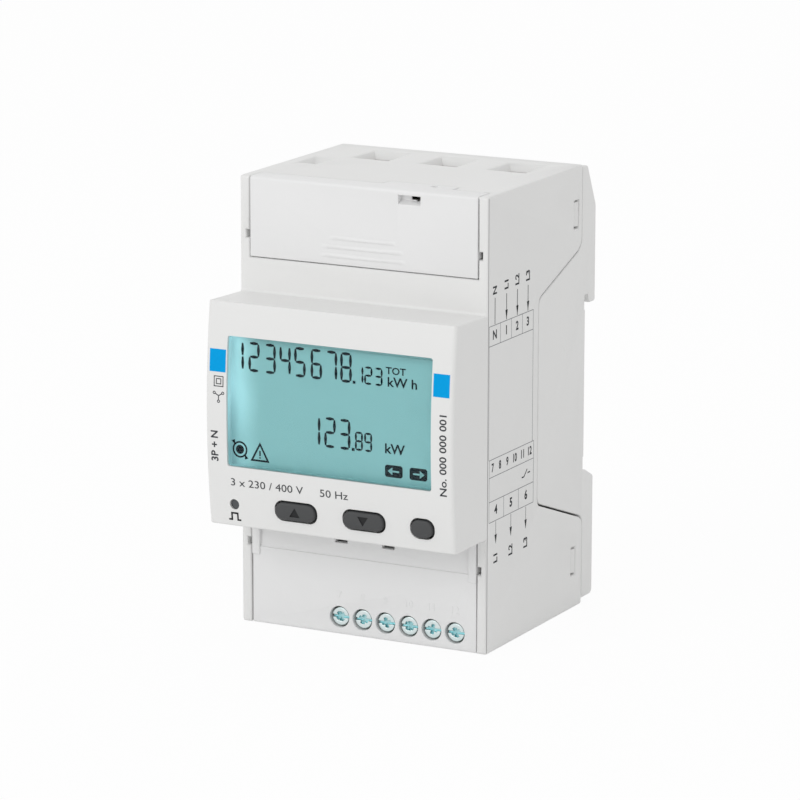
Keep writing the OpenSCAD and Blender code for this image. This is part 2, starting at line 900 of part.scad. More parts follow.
module lower_terminal_cover() {
    band_z = low_top - band_h;
    side_w = 1.7;
    side_down = 1.6;
    slot_x = 5.2;
    slot_w = 2.7;
    slot_h = 0.9;
    slot_z = low_top - 3.95;
    color("whitesmoke")
        difference() {
            union() {
                across(2 * cover_half_w)
                    polygon(outline([
                        [low_front_y, low_top, 0],
                        [low_back_y, low_top, 0],
                        [low_back_y, bottom_z + lip_t + 0.6, 0],
                        [low_back_y, bottom_z, 0],
                        [low_front_y, bottom_z, 0.4]
                    ]));
                cover_prongs(low_prong_z, low_back_y);
                for (s = [0, 1])
                    mirror([s, 0, 0])
                        block(
                            [cover_half_w - side_w, shoulder_y, band_z - side_down],
                            [cover_half_w, low_back_y, low_top]
                        );
            }
            across(2 * (cover_half_w - side_w))
                polygon([
                    [low_front_y - past, low_top + past],
                    [low_front_y + band_in, low_top + past],
                    [low_front_y + band_in, low_top],
                    [low_front_y + 0.2, band_z],
                    [low_front_y - past, band_z]
                ]);
            for (x = [-slot_x, slot_x])
                translate([x, low_front_y, slot_z])
                    cube([slot_w, 2 * (cover_t + past), slot_h], center = true);
            for (x = signal_xs)
                rod_y(x, signal_screw_z, low_front_y - past, low_back_y + past, signal_hole_r);
        }
}

// Plate with the retaining holes and tool tunnels of the mains screws
module clamp_front(deck_z0, deck_z1) {
    difference() {
        union() {
            block([-block_half_w, deck_front_y, deck_z0], [block_half_w, deck_back_y, deck_z1]);
            for (x = line_xs)
                rod_y(x, clamp_z, deck_back_y - sink, plate_front_y + sink, tunnel_out_r);
            block([-block_half_w, plate_front_y, block_floor], [block_half_w, plate_back_y, cage_top]);
        }
        for (x = line_xs) {
            rod_y(x, clamp_z, deck_front_y - past, plate_front_y, tunnel_r);
            rod_y(x, clamp_z, plate_front_y - sink, plate_back_y + past, lip_r);
        }
    }
}

// Floor and partitions that hold the mains cages
module cage_bay() {
    side_w = (line_pitch - cage_w) / 2 - fit_gap;
    difference() {
        block(
            [-block_half_w, plate_back_y - sink, block_floor],
            [block_half_w, side_end_y, block_floor + block_wall]
        );
        for (x = line_xs)
            block(
                [x - bar_w / 2 - fit_gap, bar_y - fit_gap, block_floor - sink],
                [x + bar_w / 2 + fit_gap, past, block_floor + block_wall + sink]
            );
    }
    for (i = [0:2], s = [-1, 1])
        let (x = line_xs[i] + s * (cage_w / 2 + fit_gap + side_w / 4))
            block(
                [x - side_w / 4, cage_front_y - past, block_floor],
                [x + side_w / 4, side_end_y, cage_top]
            );
}

module upper_terminal_block() {
    side_x = -neutral_x + neutral_cage_w / 2 + fit_gap;
    tube_r = neutral_head_r + fit_gap;
    color("whitesmoke")
        difference() {
            union() {
                clamp_front(block_floor, cage_top);
                cage_bay();
                block(
                    [side_x, plate_back_y - sink, block_floor],
                    [side_x + neutral_wall, side_end_y, cage_top]
                );
                rod_y(-neutral_x, clamp_z, deck_back_y - sink, plate_front_y + sink, tube_r + tunnel_wall);
            }
            rod_y(-neutral_x, clamp_z, deck_front_y - past, plate_front_y, tube_r);
            rod_y(-neutral_x, clamp_z, plate_front_y - sink, plate_back_y + past, neutral_head_r - lip_in);
            block(
                [-neutral_x - link_w, neutral_front_y - fit_gap, block_floor - past],
                [-neutral_x + link_w, neutral_front_y + link_t + 2 * fit_gap, block_floor + block_wall + sink]
            );
            prong_slots(prong_z);
        }
}

module lower_terminal_block() {
    color("whitesmoke")
        difference() {
            mirror([0, 0, 1]) {
                clamp_front(block_floor, -signal_top - fit_gap / 2);
                cage_bay();
            }
            prong_slots(low_prong_z);
        }
}

module display_window() {
    pane_w = window_w - fit_gap;
    color("lightcyan", 0.35)
        intersection() {
            difference() {
                bow(bow_r - window_setback, pane_w);
                bow(bow_r - wall + frame_play, pane_w + past);
            }
            backwards(nose_y - past, nose_y + past)
                translate([0, window_z])
                    round_rect(pane_w, window_h - fit_gap, 0.4);
        }
}

module display_glass() {
    color("cadetblue")
        block(
            [-glass_w / 2, glass_y, window_z - glass_h / 2],
            [glass_w / 2, glass_y + glass_t, window_z + glass_h / 2]
        );
}

module display_frame() {
    opening_h = glass_h + 2 * frame_play;
    frame_h = opening_h + 2 * frame_wall;
    color("white")
        translate([0, 0, window_z])
            difference() {
                block([-frame_half_w, glass_y + fit_gap, -frame_h / 2], [frame_half_w, board_y, frame_h / 2]);
                block(
                    [-glass_w / 2 - frame_play, glass_y - past, -opening_h / 2],
                    [glass_w / 2 + frame_play, board_y + past, opening_h / 2]
                );
            }
}

module backlight() {
    color("mintcream")
        block(
            [-glass_w / 2 + fit_gap, light_y, window_z - glass_h / 2 + 2 * strip_in],
            [glass_w / 2 - fit_gap, board_y, window_z + glass_h / 2 - 2 * strip_in]
        );
}

module contact_strips() {
    color("dimgray")
        for (s = [-1, 1])
            let (z = window_z + s * (glass_h / 2 - strip_in))
                block(
                    [-glass_w / 2 + strip_h, light_y, z - strip_h / 2],
                    [glass_w / 2 - strip_h, board_y, z + strip_h / 2]
                );
}

module display_board() {
    color("darkgreen")
        difference() {
            block(
                [-inner_half_w + 2 * fit_gap, board_y, nose_bottom + wall + fit_gap],
                [inner_half_w - 2 * fit_gap, board_back_y, nose_top - roof_drop - wall - fit_gap]
            );
            for (x = post_xs)
                rod_y(x, post_z, board_y - past, board_back_y + past, board_hole_r);
        }
}

module board_screws() {
    screw_l = 2.8;
    head_r = 1.6;
    head_h = 1.1;
    color("silver")
        for (x = post_xs) {
            rod_y(x, post_z, board_y - screw_l, board_back_y + sink, post_hole_r - 0.05);
            difference() {
                rod_y(x, post_z, board_back_y, board_back_y + head_h, head_r);
                translate([x, board_back_y + head_h, post_z])
                    cube([3 * head_r, head_h, head_r / 3], center = true);
            }
        }
}

// Key with its cap in the nose opening, its rim behind the wall and its plunger
module key(i) {
    x = key_xs[i];
    half_key = key_ws[i] / 2;
    rim_x1 = min(x + half_key + key_rim, inner_half_w - fit_gap);
    color("dimgray") {
        backwards(key_front_y, key_flange_y + sink)
            translate([x, -key_z])
                round_rect(2 * (half_key - key_gap), key_h - 2 * key_gap, key_r - key_gap);
        block(
            [x - half_key - key_rim, key_flange_y, -key_z - key_h / 2 + key_gap],
            [rim_x1, key_flange_y + key_flange_t, -key_z + key_h / 2 + key_rim]
        );
        rod_y(x, -key_z, key_flange_y, key_flange_y + key_flange_t + plunger_h, plunger_r);
    }
}

module tactile_switch(i) {
    x = key_xs[i];
    switch_low = nose_bottom + wall + fit_gap;
    color("black") {
        block(
            [x - switch_w / 2, switch_top_y + switch_h, switch_low],
            [x + switch_w / 2, board_y, switch_low + switch_w - switch_h]
        );
        rod_y(x, -key_z, switch_top_y, switch_top_y + switch_h + sink, switch_r);
    }
}

module pulse_led() {
    base_h = 1.2;
    color("tomato") {
        rod_y(-pulse_x, -key_z, board_y - base_h, board_y, 1.6);
        translate([-pulse_x, board_y - base_h, -key_z])
            sphere(base_h - 0.05);
    }
}

module light_pipe() {
    pipe_in = 0.5;
    led_room = 2.8;
    color("dimgray") {
        rod_y(-pulse_x, -key_z, bow_front(bow_r, key_z) + pipe_in, board_y - led_room, pulse_r - 0.1);
        rod_y(-pulse_x, -key_z, key_flange_y, key_flange_y + key_flange_t, pulse_r + 0.7);
    }
}

module main_board() {
    color("darkgreen")
        difference() {
            block(
                [-inner_half_w + 3 * fit_gap, main_y, floor_z + fit_gap],
                [inner_half_w - 3 * fit_gap, main_back_y, main_top]
            );
            for (x = line_xs)
                rod_y(x, -clamp_z, main_y - past, main_back_y + past, tunnel_out_r + fit_gap);
        }
}

// Stacking header between the two boards
module board_header() {
    header_w = header_n * header_pitch;
    color("black")
        for (y = [main_y - header_h / 2, board_back_y + header_h / 2])
            translate([0, y, header_z])
                cube([header_w, header_h, header_h], center = true);
    color("gold")
        for (i = [0:header_n - 1])
            translate([(i - (header_n - 1) / 2) * header_pitch, (main_y + board_back_y) / 2, header_z])
                cube([pin_w, main_y - board_back_y - 2 * header_h + 2 * sink, pin_w], center = true);
}

module current_sensor(i) {
    rim = 1;
    color("steelblue")
        translate([line_xs[i], sensor_y, 0])
            rotate_extrude($fn = 64)
                translate([sensor_hole_r + sensor_wall / 2, 0])
                    round_rect(sensor_wall, sensor_h, rim);
}

module current_bar(i) {
    color("darkgoldenrod")
        block(
            [line_xs[i] - bar_w / 2, bar_y, -cage_top + bar_end],
            [line_xs[i] + bar_w / 2, bar_y + bar_t, cage_top - bar_end]
        );
}

// Clamp cage round one mains wire, open at its top and bottom
module mains_cage(i) {
    x = line_xs[i];
    color("silver")
        difference() {
            block([x - cage_w / 2, cage_front_y, cage_bottom], [x + cage_w / 2, cage_back_y, cage_top]);
            block(
                [x - cage_w / 2 + cage_wall, cage_front_y + cage_end, cage_bottom - past],
                [x + cage_w / 2 - cage_wall, cage_back_y - cage_end, cage_top + past]
            );
            rod_y(x, clamp_z, cage_front_y - past, cage_front_y + cage_end + sink, screw_r + 0.05);
        }
}

// Clamp screw with a crossed slot in its head
module clamp_screw(x, z, head_y, tip_y, head_r, thread_r) {
    slot_w = head_r / 4;
    slot_d = 2 * head_r / 3;
    difference() {
        union() {
            rod_y(x, z, head_y, head_y + head_r, head_r);
            rod_y(x, z, head_y + head_r - sink, tip_y, thread_r);
        }
        translate([x, head_y, z]) {
            cube([3 * head_r, slot_d, slot_w], center = true);
            cube([slot_w, slot_d, head_r], center = true);
        }
    }
}

// One row of mains clamp screws
module mains_screws() {
    color("silver")
        for (x = line_xs)
            clamp_screw(
                x, clamp_z, plate_back_y + fit_gap,
                cage_front_y + cage_end + tip_out, screw_head_r, screw_r
            );
}

module neutral_cage() {
    x = -neutral_x;
    half_cage = neutral_cage_w / 2;
    inner_half = half_cage - neutral_wall;
    back_y = neutral_front_y + neutral_cage_d;
    color("silver")
        difference() {
            block([x - half_cage, neutral_front_y, cage_bottom], [x + half_cage, back_y, cage_top]);
            block(
                [x - inner_half, neutral_front_y + neutral_end, cage_bottom - past],
                [x + inner_half, back_y - neutral_end, cage_top + past]
            );
            rod_y(
                x, clamp_z, neutral_front_y - past,
                neutral_front_y + neutral_end + sink, neutral_thread_r + 0.05
            );
        }
}

// Strip from the neutral cage down to the main board
module neutral_link() {
    link_z = main_top - link_reach;
    color("goldenrod") {
        block(
            [-neutral_x - link_w / 2, neutral_front_y, link_z - link_t],
            [-neutral_x + link_w / 2, neutral_front_y + link_t, cage_bottom]
        );
        block(
            [-neutral_x - link_w / 2, main_back_y, link_z - link_t],
            [-neutral_x + link_w / 2, neutral_front_y + sink, link_z]
        );
    }
}

module neutral_screw() {
    color("silver")
        clamp_screw(
            -neutral_x, clamp_z, plate_back_y + fit_gap,
            neutral_front_y + neutral_end + tip_out, neutral_head_r, neutral_thread_r
        );
}

module signal_block() {
    color("darkseagreen")
        difference() {
            block([signal_x0, signal_front_y, signal_bottom], [signal_x1, main_y, signal_top]);
            for (x = signal_xs) {
                block(
                    [x - signal_cage_w / 2 - 0.1, signal_cage_y0 - 0.1, signal_bottom - past],
                    [x + signal_cage_w / 2 + 0.1, signal_cage_y1 + 0.1, signal_top - 1]
                );
                rod_y(x, signal_screw_z, signal_front_y - past, signal_cage_y0, signal_thread_r + 0.1);
            }
        }
}

module signal_cages() {
    color("silver")
        for (x = signal_xs)
            difference() {
                block(
                    [x - signal_cage_w / 2, signal_cage_y0, signal_bottom + 0.8],
                    [x + signal_cage_w / 2, signal_cage_y1, signal_top - 1.1]
                );
                block(
                    [x - signal_cage_w / 2 + 0.5, signal_cage_y0 + signal_end, signal_bottom - past],
                    [x + signal_cage_w / 2 - 0.5, signal_cage_y1 - signal_end, signal_top - 1.8]
                );
                translate([x, signal_cage_y0, signal_screw_z])
                    rotate([90, 0, 0])
                        cylinder(h = 2 * signal_end + sink, r = signal_thread_r + 0.05, center = true);
            }
}

module signal_screws() {
    color("lightsteelblue")
        for (x = signal_xs)
            clamp_screw(
                x, signal_screw_z, low_front_y + 0.5,
                signal_cage_y0 + signal_end + tip_out, signal_head_r, signal_thread_r
            );
}

module supply_transformer() {
    color("khaki")
        translate([core_x, main_y - coil_d / 2, core_z])
            cube([coil_w, coil_d, coil_h], center = true);
    color("dimgray")
        translate([core_x, main_y - core_lift - core_d / 2, core_z])
            cube([core_w, core_d, core_h], center = true);
}

module supply_capacitors() {
    color("midnightblue")
        for (z = [capacitor_z, capacitor_z - capacitor_pitch])
            rod_y(-capacitor_x, z, main_y - capacitor_h, main_y, capacitor_r);
}

module surge_discs() {
    disc_y = main_y - disc_lift - disc_r;
    color("royalblue")
        for (x = [-2 * disc_pitch, -disc_pitch, 0]) {
            translate([x, disc_y, disc_z])
                rotate([0, 90, 0])
                    cylinder(h = disc_t, r = disc_r, center = true);
            for (s = [-1, 1])
                rod_y(x, disc_z + s * disc_r / 2, disc_y, main_y, disc_lead_r);
        }
}

module metering_chip() {
    color("black")
        translate([chip_x, main_y - chip_t / 2, chip_z])
            cube([chip_w, chip_t, chip_h], center = true);
}

module rail_clip() {
    nose_top_z = clip_block_top + clip_nose;
    slot_z = 1.4;
    slot_h = 2;
    color("gray")
        difference() {
            union() {
                across(2 * clip_half_w)
                    polygon(outline([
                        [clip_front_y, clip_bottom, 0.4],
                        [clip_front_y, clip_block_top + 0.1, 0],
                        [clip_front_y + 0.6, clip_block_top + 0.1, 0],
                        [clip_front_y + 0.6, nose_top_z, 0.2],
                        [clip_front_y + 1.4, nose_top_z, 0.3],
                        [clip_back_y, clip_block_top - 0.8, 0.4],
                        [clip_back_y, clip_bottom, 0.4]
                    ]));
                block(
                    [-clip_half_w - runner_w, clip_front_y, clip_bottom + 1],
                    [clip_half_w + runner_w, runner_y - 0.2, clip_block_top - 2]
                );
            }
            block(
                [-clip_window_w / 2, clip_front_y - past, peg_top - peg_h - fit_gap],
                [clip_window_w / 2, clip_back_y + past, spring_top]
            );
            block(
                [-clip_half_w / 2, clip_front_y - past, clip_bottom + slot_z],
                [clip_half_w / 2, clip_back_y + past, clip_bottom + slot_z + slot_h]
            );
        }
}

// Points of one ring of the spring's wire, at step i of n
function coil_ring(i, n) =
    let (
        turn = 360 * spring_turns * i / n,
        z = peg_top + spring_wire_r + 0.05 + (spring_top - peg_top - 2 * spring_wire_r - 0.1) * i / n
    )
    [for (k = [0:5])
        let (out = spring_r + spring_wire_r * cos(60 * k))
            [out * cos(turn), spring_y + out * sin(turn), z + spring_wire_r * sin(60 * k)]
    ];

module clip_spring() {
    steps = 12 * spring_turns;
    points = [for (i = [0:steps]) each coil_ring(i, steps)];
    sides = [
        for (i = [0:steps - 1], k = [0:5])
            [i * 6 + k, i * 6 + (k + 1) % 6, i * 6 + 6 + (k + 1) % 6, i * 6 + 6 + k]
    ];
    caps = [[for (k = [5:-1:0]) k], [for (k = [0:5]) steps * 6 + k]];
    color("silver")
        polyhedron(points, concat(sides, caps), convexity = 8);
}

front_housing();
rear_base();
upper_terminal_cover();
lower_terminal_cover();
upper_terminal_block();
lower_terminal_block();
display_window();
display_glass();
display_frame();
backlight();
contact_strips();
display_board();
board_screws();
key(0);  // up_key
key(1);  // down_key
key(2);  // enter_key
tactile_switch(0);  // up_switch
tactile_switch(1);  // down_switch
tactile_switch(2);  // enter_switch
pulse_led();
light_pipe();
main_board();
board_header();
current_sensor(0);  // current_sensor_1
current_sensor(1);  // current_sensor_2
current_sensor(2);  // current_sensor_3
current_bar(0);  // current_bar_1
current_bar(1);  // current_bar_2
current_bar(2);  // current_bar_3
mains_cage(0);  // line_cage_1
mains_cage(1);  // line_cage_2
mains_cage(2);  // line_cage_3
mirror([0, 0, 1]) mains_cage(0);  // load_cage_1
mirror([0, 0, 1]) mains_cage(1);  // load_cage_2
mirror([0, 0, 1]) mains_cage(2);  // load_cage_3
neutral_cage();
neutral_link();
mains_screws();  // line_screws
mirror([0, 0, 1]) mains_screws();  // load_screws
neutral_screw();
signal_block();
signal_cages();
signal_screws();
supply_transformer();
supply_capacitors();
surge_discs();
metering_chip();
rail_clip();
clip_spring();
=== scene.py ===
"""Looks of a three-module DIN rail energy meter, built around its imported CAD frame."""

import logging
import math
from dataclasses import dataclass, field
from enum import Enum
from typing import Callable, Iterable

import bmesh
import bpy
from mathutils import Matrix, Vector


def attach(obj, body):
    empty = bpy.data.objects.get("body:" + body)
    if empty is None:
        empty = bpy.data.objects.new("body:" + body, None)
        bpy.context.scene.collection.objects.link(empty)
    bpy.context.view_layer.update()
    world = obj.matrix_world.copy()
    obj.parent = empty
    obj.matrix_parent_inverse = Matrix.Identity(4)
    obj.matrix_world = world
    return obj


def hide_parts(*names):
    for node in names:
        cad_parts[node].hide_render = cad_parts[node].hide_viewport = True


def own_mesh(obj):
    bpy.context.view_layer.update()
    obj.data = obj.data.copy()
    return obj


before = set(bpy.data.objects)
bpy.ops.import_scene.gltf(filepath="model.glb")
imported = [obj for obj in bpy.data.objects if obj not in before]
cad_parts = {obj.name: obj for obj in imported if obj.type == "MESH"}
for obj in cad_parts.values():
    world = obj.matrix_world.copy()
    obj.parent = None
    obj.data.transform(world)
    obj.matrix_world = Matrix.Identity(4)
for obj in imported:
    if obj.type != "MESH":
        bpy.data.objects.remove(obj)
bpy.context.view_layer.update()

LOG = logging.getLogger("meter")
MM = 0.001
MERGE = 1e-6

Point = tuple[float, float]
Colour = tuple[float, float, float, float]


def linear(code: str, alpha: float = 1.0) -> Colour:
    """Turns an sRGB hex colour into Blender's linear colour.

    Args:
        code: six hex digits, red first.
        alpha: the fourth number.

    Returns:
        Red, green, blue and alpha, each from 0 to 1.
    """
    parts = [int(code[i:i + 2], 16) / 255 for i in (0, 2, 4)]
    red, green, blue = (c / 12.92 if c <= 0.04045 else ((c + 0.055) / 1.055) ** 2.4 for c in parts)
    return red, green, blue, alpha


def add_node(tree: bpy.types.NodeTree, kind: str, settings: dict | None = None,
             links: dict | None = None) -> bpy.types.Node:
    """Adds one shader node.

    Args:
        tree: the material's or world's node tree.
        kind: Blender's node type.
        settings: values of inputs, by name or number, and of the node's own properties.
        links: the output that feeds each named or numbered input.

    Returns:
        The new node.
    """
    node = tree.nodes.new(kind)
    for key, value in (settings or {}).items():
        if isinstance(key, int) or key in node.inputs:
            node.inputs[key].default_value = value
        else:
            setattr(node, key, value)
    for key, source in (links or {}).items():
        tree.links.new(source, node.inputs[key])
    return node


# Finishes


@dataclass(frozen=True)
class Finish:
    """A surface: its colour, gloss and the fine pattern that its making leaves.

    Args:
        name: the material's name.
        colour: sRGB hex.
        roughness: from 0, mirror, to 1, chalk.
        ior: index of refraction, left at 1.5 for metals.
    """

    name: str
    colour: str
    roughness: float
    ior: float = 1.5

    def make(self) -> bpy.types.Material:
        """Builds the material once and gives the same one again later.

        Returns:
            The finished material.
        """
        known = bpy.data.materials.get(self.name)
        if known:
            return known
        material = bpy.data.materials.new(self.name)
        material.use_nodes = True
        tree = material.node_tree
        tree.nodes.clear()
        place = add_node(tree, "ShaderNodeTexCoord").outputs["Object"]
        shader = add_node(tree, "ShaderNodeBsdfPrincipled", {
            "Base Color": linear(self.colour), "Roughness": self.roughness, "IOR": self.ior,
        })
        surface = self.shade(tree, shader, place)
        add_node(tree, "ShaderNodeOutputMaterial", links={"Surface": surface})
        return material

    def shade(self, tree: bpy.types.NodeTree, shader: bpy.types.Node,
              place: bpy.types.NodeSocket) -> bpy.types.NodeSocket:
        """Adds the pattern of this finish.

        Args:
            tree: the material's node tree.
            shader: its Principled node.
            place: Object coordinates, in metres.

        Returns:
            The output that goes to the surface.
        """
        return shader.outputs["BSDF"]

    def mottle(self, tree: bpy.types.NodeTree, shader: bpy.types.Node, place: bpy.types.NodeSocket,
               size: float, depth: float) -> None:
        """Varies the base colour a little in soft clouds.

        Args:
            tree: the material's node tree.
            shader: its Principled node.
            place: Object coordinates.
            size: width of a cloud in mm.
            depth: share of the colour that the darkest cloud takes away.
        """
        cloud = add_node(tree, "ShaderNodeTexNoise", {"Scale": 1 / (size * MM), "Detail": 2.0},
                         {"Vector": place})
        full = linear(self.colour)
        dark = (*(c * (1 - depth) for c in full[:3]), 1.0)
        mix = add_node(tree, "ShaderNodeMix", {"data_type": "RGBA", 6: dark, 7: full},
                       {0: cloud.outputs["Fac"]})
        tree.links.new(mix.outputs[2], shader.inputs["Base Color"])

    def grain(self, tree: bpy.types.NodeTree, shader: bpy.types.Node, place: bpy.types.NodeSocket,
              size: float, depth: float) -> None:
        """Raises a fine even grain.

        Args:
            tree: the material's node tree.
            shader: its Principled node.
            place: Object coordinates.
            size: width of one grain in mm.
            depth: height of the grain in mm.
        """
        pits = add_node(tree, "ShaderNodeTexNoise",
                        {"Scale": 1 / (size * MM), "Detail": 1.0, "Roughness": 0.6},
                        {"Vector": place})
        bump = add_node(tree, "ShaderNodeBump", {"Distance": depth * MM, "Strength": 1.0},
                        {"Height": pits.outputs["Fac"]})
        tree.links.new(bump.outputs["Normal"], shader.inputs["Normal"])


@dataclass(frozen=True)
class Moulded(Finish):
    """Injection-moulded plastic with a spark-eroded grain: even, soft-lit, with a dull sheen.

    Args:
        grain_size: width of a grain in mm. Real grain is nearer 0.05 mm, too fine to show.
        grain_depth: its height in mm.
        cloud: share of the colour lost in the faint flow clouds of the resin.
    """

    grain_size: float = 0.22
    grain_depth: float = 0.003
    cloud: float = 0.025

    def shade(self, tree: bpy.types.NodeTree, shader: bpy.types.Node,
              place: bpy.types.NodeSocket) -> bpy.types.NodeSocket:
        """Adds grain and flow clouds; see Finish.shade."""
        self.mottle(tree, shader, place, 14.0, self.cloud)
        self.grain(tree, shader, place, self.grain_size, self.grain_depth)
        return shader.outputs["BSDF"]


@dataclass(frozen=True)
class Clear(Finish):
    """Clear polycarbonate with an anti-glare hard coat: light passes on to what lies behind."""

    def shade(self, tree: bpy.types.NodeTree, shader: bpy.types.Node,
              place: bpy.types.NodeSocket) -> bpy.types.NodeSocket:
        """Makes it see-through, and open to shadow rays so that the display behind is lit."""
        shader.inputs["Transmission Weight"].default_value = 1.0
        path = add_node(tree, "ShaderNodeLightPath")
        through = add_node(tree, "ShaderNodeBsdfTransparent", {"Color": linear("F6FAFA")})
        mix = add_node(tree, "ShaderNodeMixShader", links={
            0: path.outputs["Is Shadow Ray"], 1: shader.outputs["BSDF"],
            2: through.outputs["BSDF"]})
        return mix.outputs["Shader"]


@dataclass(frozen=True)
class LiquidCrystal(Finish):
    """Liquid crystal cell with a polariser sheet, lit from its left edge: teal, paler at the lamps.

    Args:
        glow: sRGB hex that it shines beside the lamps; backlight, partly painted light against the shade
            of the window's walls.
        base: sRGB hex that it shines elsewhere; backlight, partly painted light against the dimming of the
            pane.
        lit_x: X of the lit edge in mm.
        reach: how far the paler light spreads, in mm.
    """

    glow: str = "ABDAE3"
    base: str = "2C4648"
    lit_x: float = -23.5
    reach: float = 8.0

    def shade(self, tree: bpy.types.NodeTree, shader: bpy.types.Node,
              place: bpy.types.NodeSocket) -> bpy.types.NodeSocket:
        """Blends from the lit edge to the plain colour, with soft clouds between lamps."""
        axes = add_node(tree, "ShaderNodeSeparateXYZ", links={"Vector": place})
        near = add_node(tree, "ShaderNodeMapRange", {
            1: self.lit_x * MM, 2: (self.lit_x + self.reach) * MM, 3: 1.0, 4: 0.0,
            "interpolation_type": "SMOOTHSTEP"}, {0: axes.outputs["X"]})
        cloud = add_node(tree, "ShaderNodeTexNoise", {"Scale": 1 / (9 * MM), "Detail": 0.0},
                         {"Vector": place})
        patch = add_node(tree, "ShaderNodeMath", {"operation": "MULTIPLY"},
                         {0: near.outputs["Result"], 1: cloud.outputs["Fac"]})
        mix = add_node(tree, "ShaderNodeMix", {
            "data_type": "RGBA", 6: linear(self.base), 7: linear(self.glow)},
            {0: patch.outputs["Value"]})
        # Emission: the backlight, partly painted light that lifts the shade of the pane and the window's
        # walls
        tree.links.new(mix.outputs[2], shader.inputs["Emission Color"])
        shader.inputs["Emission Strength"].default_value = 1.0
        self.mottle(tree, shader, place, 6.0, 0.04)
        return shader.outputs["BSDF"]


@dataclass(frozen=True)
class Metal(Finish):
    """Bare or plated metal, drawn or stamped: bright, with fine lines along one axis.

    Args:
        line: spacing of the lines in mm.
        stretch: how much longer the lines are than wide, along X, Y and Z.
        stain: sRGB hex of the film that passivation or handling leaves.
    """

    line: float = 0.15
    stretch: tuple[float, float, float] = (1.0, 1.0, 0.08)
    stain: str = "B9C4C0"

    def shade(self, tree: bpy.types.NodeTree, shader: bpy.types.Node,
              place: bpy.types.NodeSocket) -> bpy.types.NodeSocket:
        """Adds drawn lines to gloss and relief, and a thin film to the colour."""
        shader.inputs["Metallic"].default_value = 1.0
        turned = add_node(tree, "ShaderNodeMapping", {"Scale": self.stretch}, {"Vector": place})
        lines = add_node(tree, "ShaderNodeTexNoise", {"Scale": 1 / (self.line * MM), "Detail": 2.0},
                         {"Vector": turned.outputs["Vector"]})
        film = add_node(tree, "ShaderNodeTexNoise", {"Scale": 1 / (1.6 * MM), "Detail": 1.0},
                        {"Vector": place})
        mix = add_node(tree, "ShaderNodeMix", {
            "data_type": "RGBA", 6: linear(self.colour), 7: linear(self.stain)},
            {0: film.outputs["Fac"]})
        tree.links.new(mix.outputs[2], shader.inputs["Base Color"])
        gloss = add_node(tree, "ShaderNodeMapRange", {3: self.roughness * 0.75, 4: self.roughness * 1.3},
                         {0: lines.outputs["Fac"]})
        tree.links.new(gloss.outputs["Result"], shader.inputs["Roughness"])
        bump = add_node(tree, "ShaderNodeBump", {"Distance": 0.004 * MM}, {"Height": lines.outputs["Fac"]})
        tree.links.new(bump.outputs["Normal"], shader.inputs["Normal"])
        return shader.outputs["BSDF"]


@dataclass(frozen=True)
class Board(Finish):
    """Glass-fibre circuit board under solder mask: satin green with paler buried tracks.

    Args:
        track: sRGB hex over the copper.
        pitch: spacing of the tracks in mm.
    """

    track: str = "2C7A45"
    pitch: float = 1.27

    def shade(self, tree: bpy.types.NodeTree, shader: bpy.types.Node,
              place: bpy.types.NodeSocket) -> bpy.types.NodeSocket:
        """Draws tracks as broken bands along Z and the weave as a faint relief."""
        broken = add_node(tree, "ShaderNodeTexVoronoi", {"Scale": 1 / (5.5 * MM), "feature": "F1"},
                          {"Vector": place})
        bands = add_node(tree, "ShaderNodeTexWave", {
            "Scale": 1 / (20 * self.pitch * MM) * math.pi, "Distortion": 0.6, "Detail": 0.0,
            "bands_direction": "X"}, {"Vector": place})
        share = add_node(tree, "ShaderNodeMath", {"operation": "MULTIPLY"},
                         {0: bands.outputs["Fac"], 1: broken.outputs["Distance"]})
        step = add_node(tree, "ShaderNodeMapRange", {1: 0.28, 2: 0.36}, {0: share.outputs["Value"]})
        mix = add_node(tree, "ShaderNodeMix", {
            "data_type": "RGBA", 6: linear(self.colour), 7: linear(self.track)},
            {0: step.outputs["Result"]})
        tree.links.new(mix.outputs[2], shader.inputs["Base Color"])
        self.grain(tree, shader, place, 0.4, 0.004)
        return shader.outputs["BSDF"]


@dataclass(frozen=True)
class Ink(Finish):
    """Pad-printed ink: a matt film with a slightly uneven cover.

    Args:
        gloss: Principled's specular level, well under a bare plastic's for a matted ink.
    """

    gloss: float = 0.06

    def shade(self, tree: bpy.types.NodeTree, shader: bpy.types.Node,
              place: bpy.types.NodeSocket) -> bpy.types.NodeSocket:
        """Adds the uneven cover; see Finish.shade."""
        shader.inputs["Specular IOR Level"].default_value = self.gloss
        self.mottle(tree, shader, place, 0.5, 0.12)
        return shader.outputs["BSDF"]


# Light-grey polycarbonate blend moulded in an eroded tool: pale, even, with a dull broad sheen
HOUSING = Moulded("moulded_grey_polycarbonate", "E4E4E3", 0.48, 1.58)
# Same resin from the cover's own tool, a touch smoother
COVER = Moulded("moulded_cover_polycarbonate", "E6E6E6", 0.44, 1.58, grain_depth=0.002)
# Flame-retardant polyamide of the terminal blocks: cream-white and slightly waxy
POLYAMIDE = Moulded("cream_polyamide", "ECEAE2", 0.42, 1.53)
# Clear polycarbonate pane; its low index stands for the anti-glare coat, so it hardly mirrors
PANE = Clear("clear_polycarbonate", "FFFFFF", 0.0, 1.2)
# Liquid crystal cell behind its satin polariser
CRYSTAL = LiquidCrystal("liquid_crystal_polariser", "74AAAC", 0.35, 1.5)
# Switched-on crystal: the polariser goes nearly black with a teal cast
SEGMENT = Ink("dark_liquid_crystal", "0B1F26", 0.4)
# Moulded white polystyrene that holds the display
FRAME_WHITE = Moulded("white_polystyrene", "EDEDEB", 0.4, 1.59)
# Opal acrylic light guide
DIFFUSER = Moulded("opal_acrylic", "DCEDEB", 0.3, 1.49, grain_depth=0.001)
# Carbon-filled silicone contact strip
CONTACT = Moulded("carbon_silicone", "2A2A2B", 0.7, 1.43)
# Compression-moulded silicone rubber key, matt charcoal with a fine bloom
KEY = Moulded("moulded_silicone_rubber", "454647", 0.6, 1.43, grain_size=0.3,
              grain_depth=0.004, cloud=0.08)
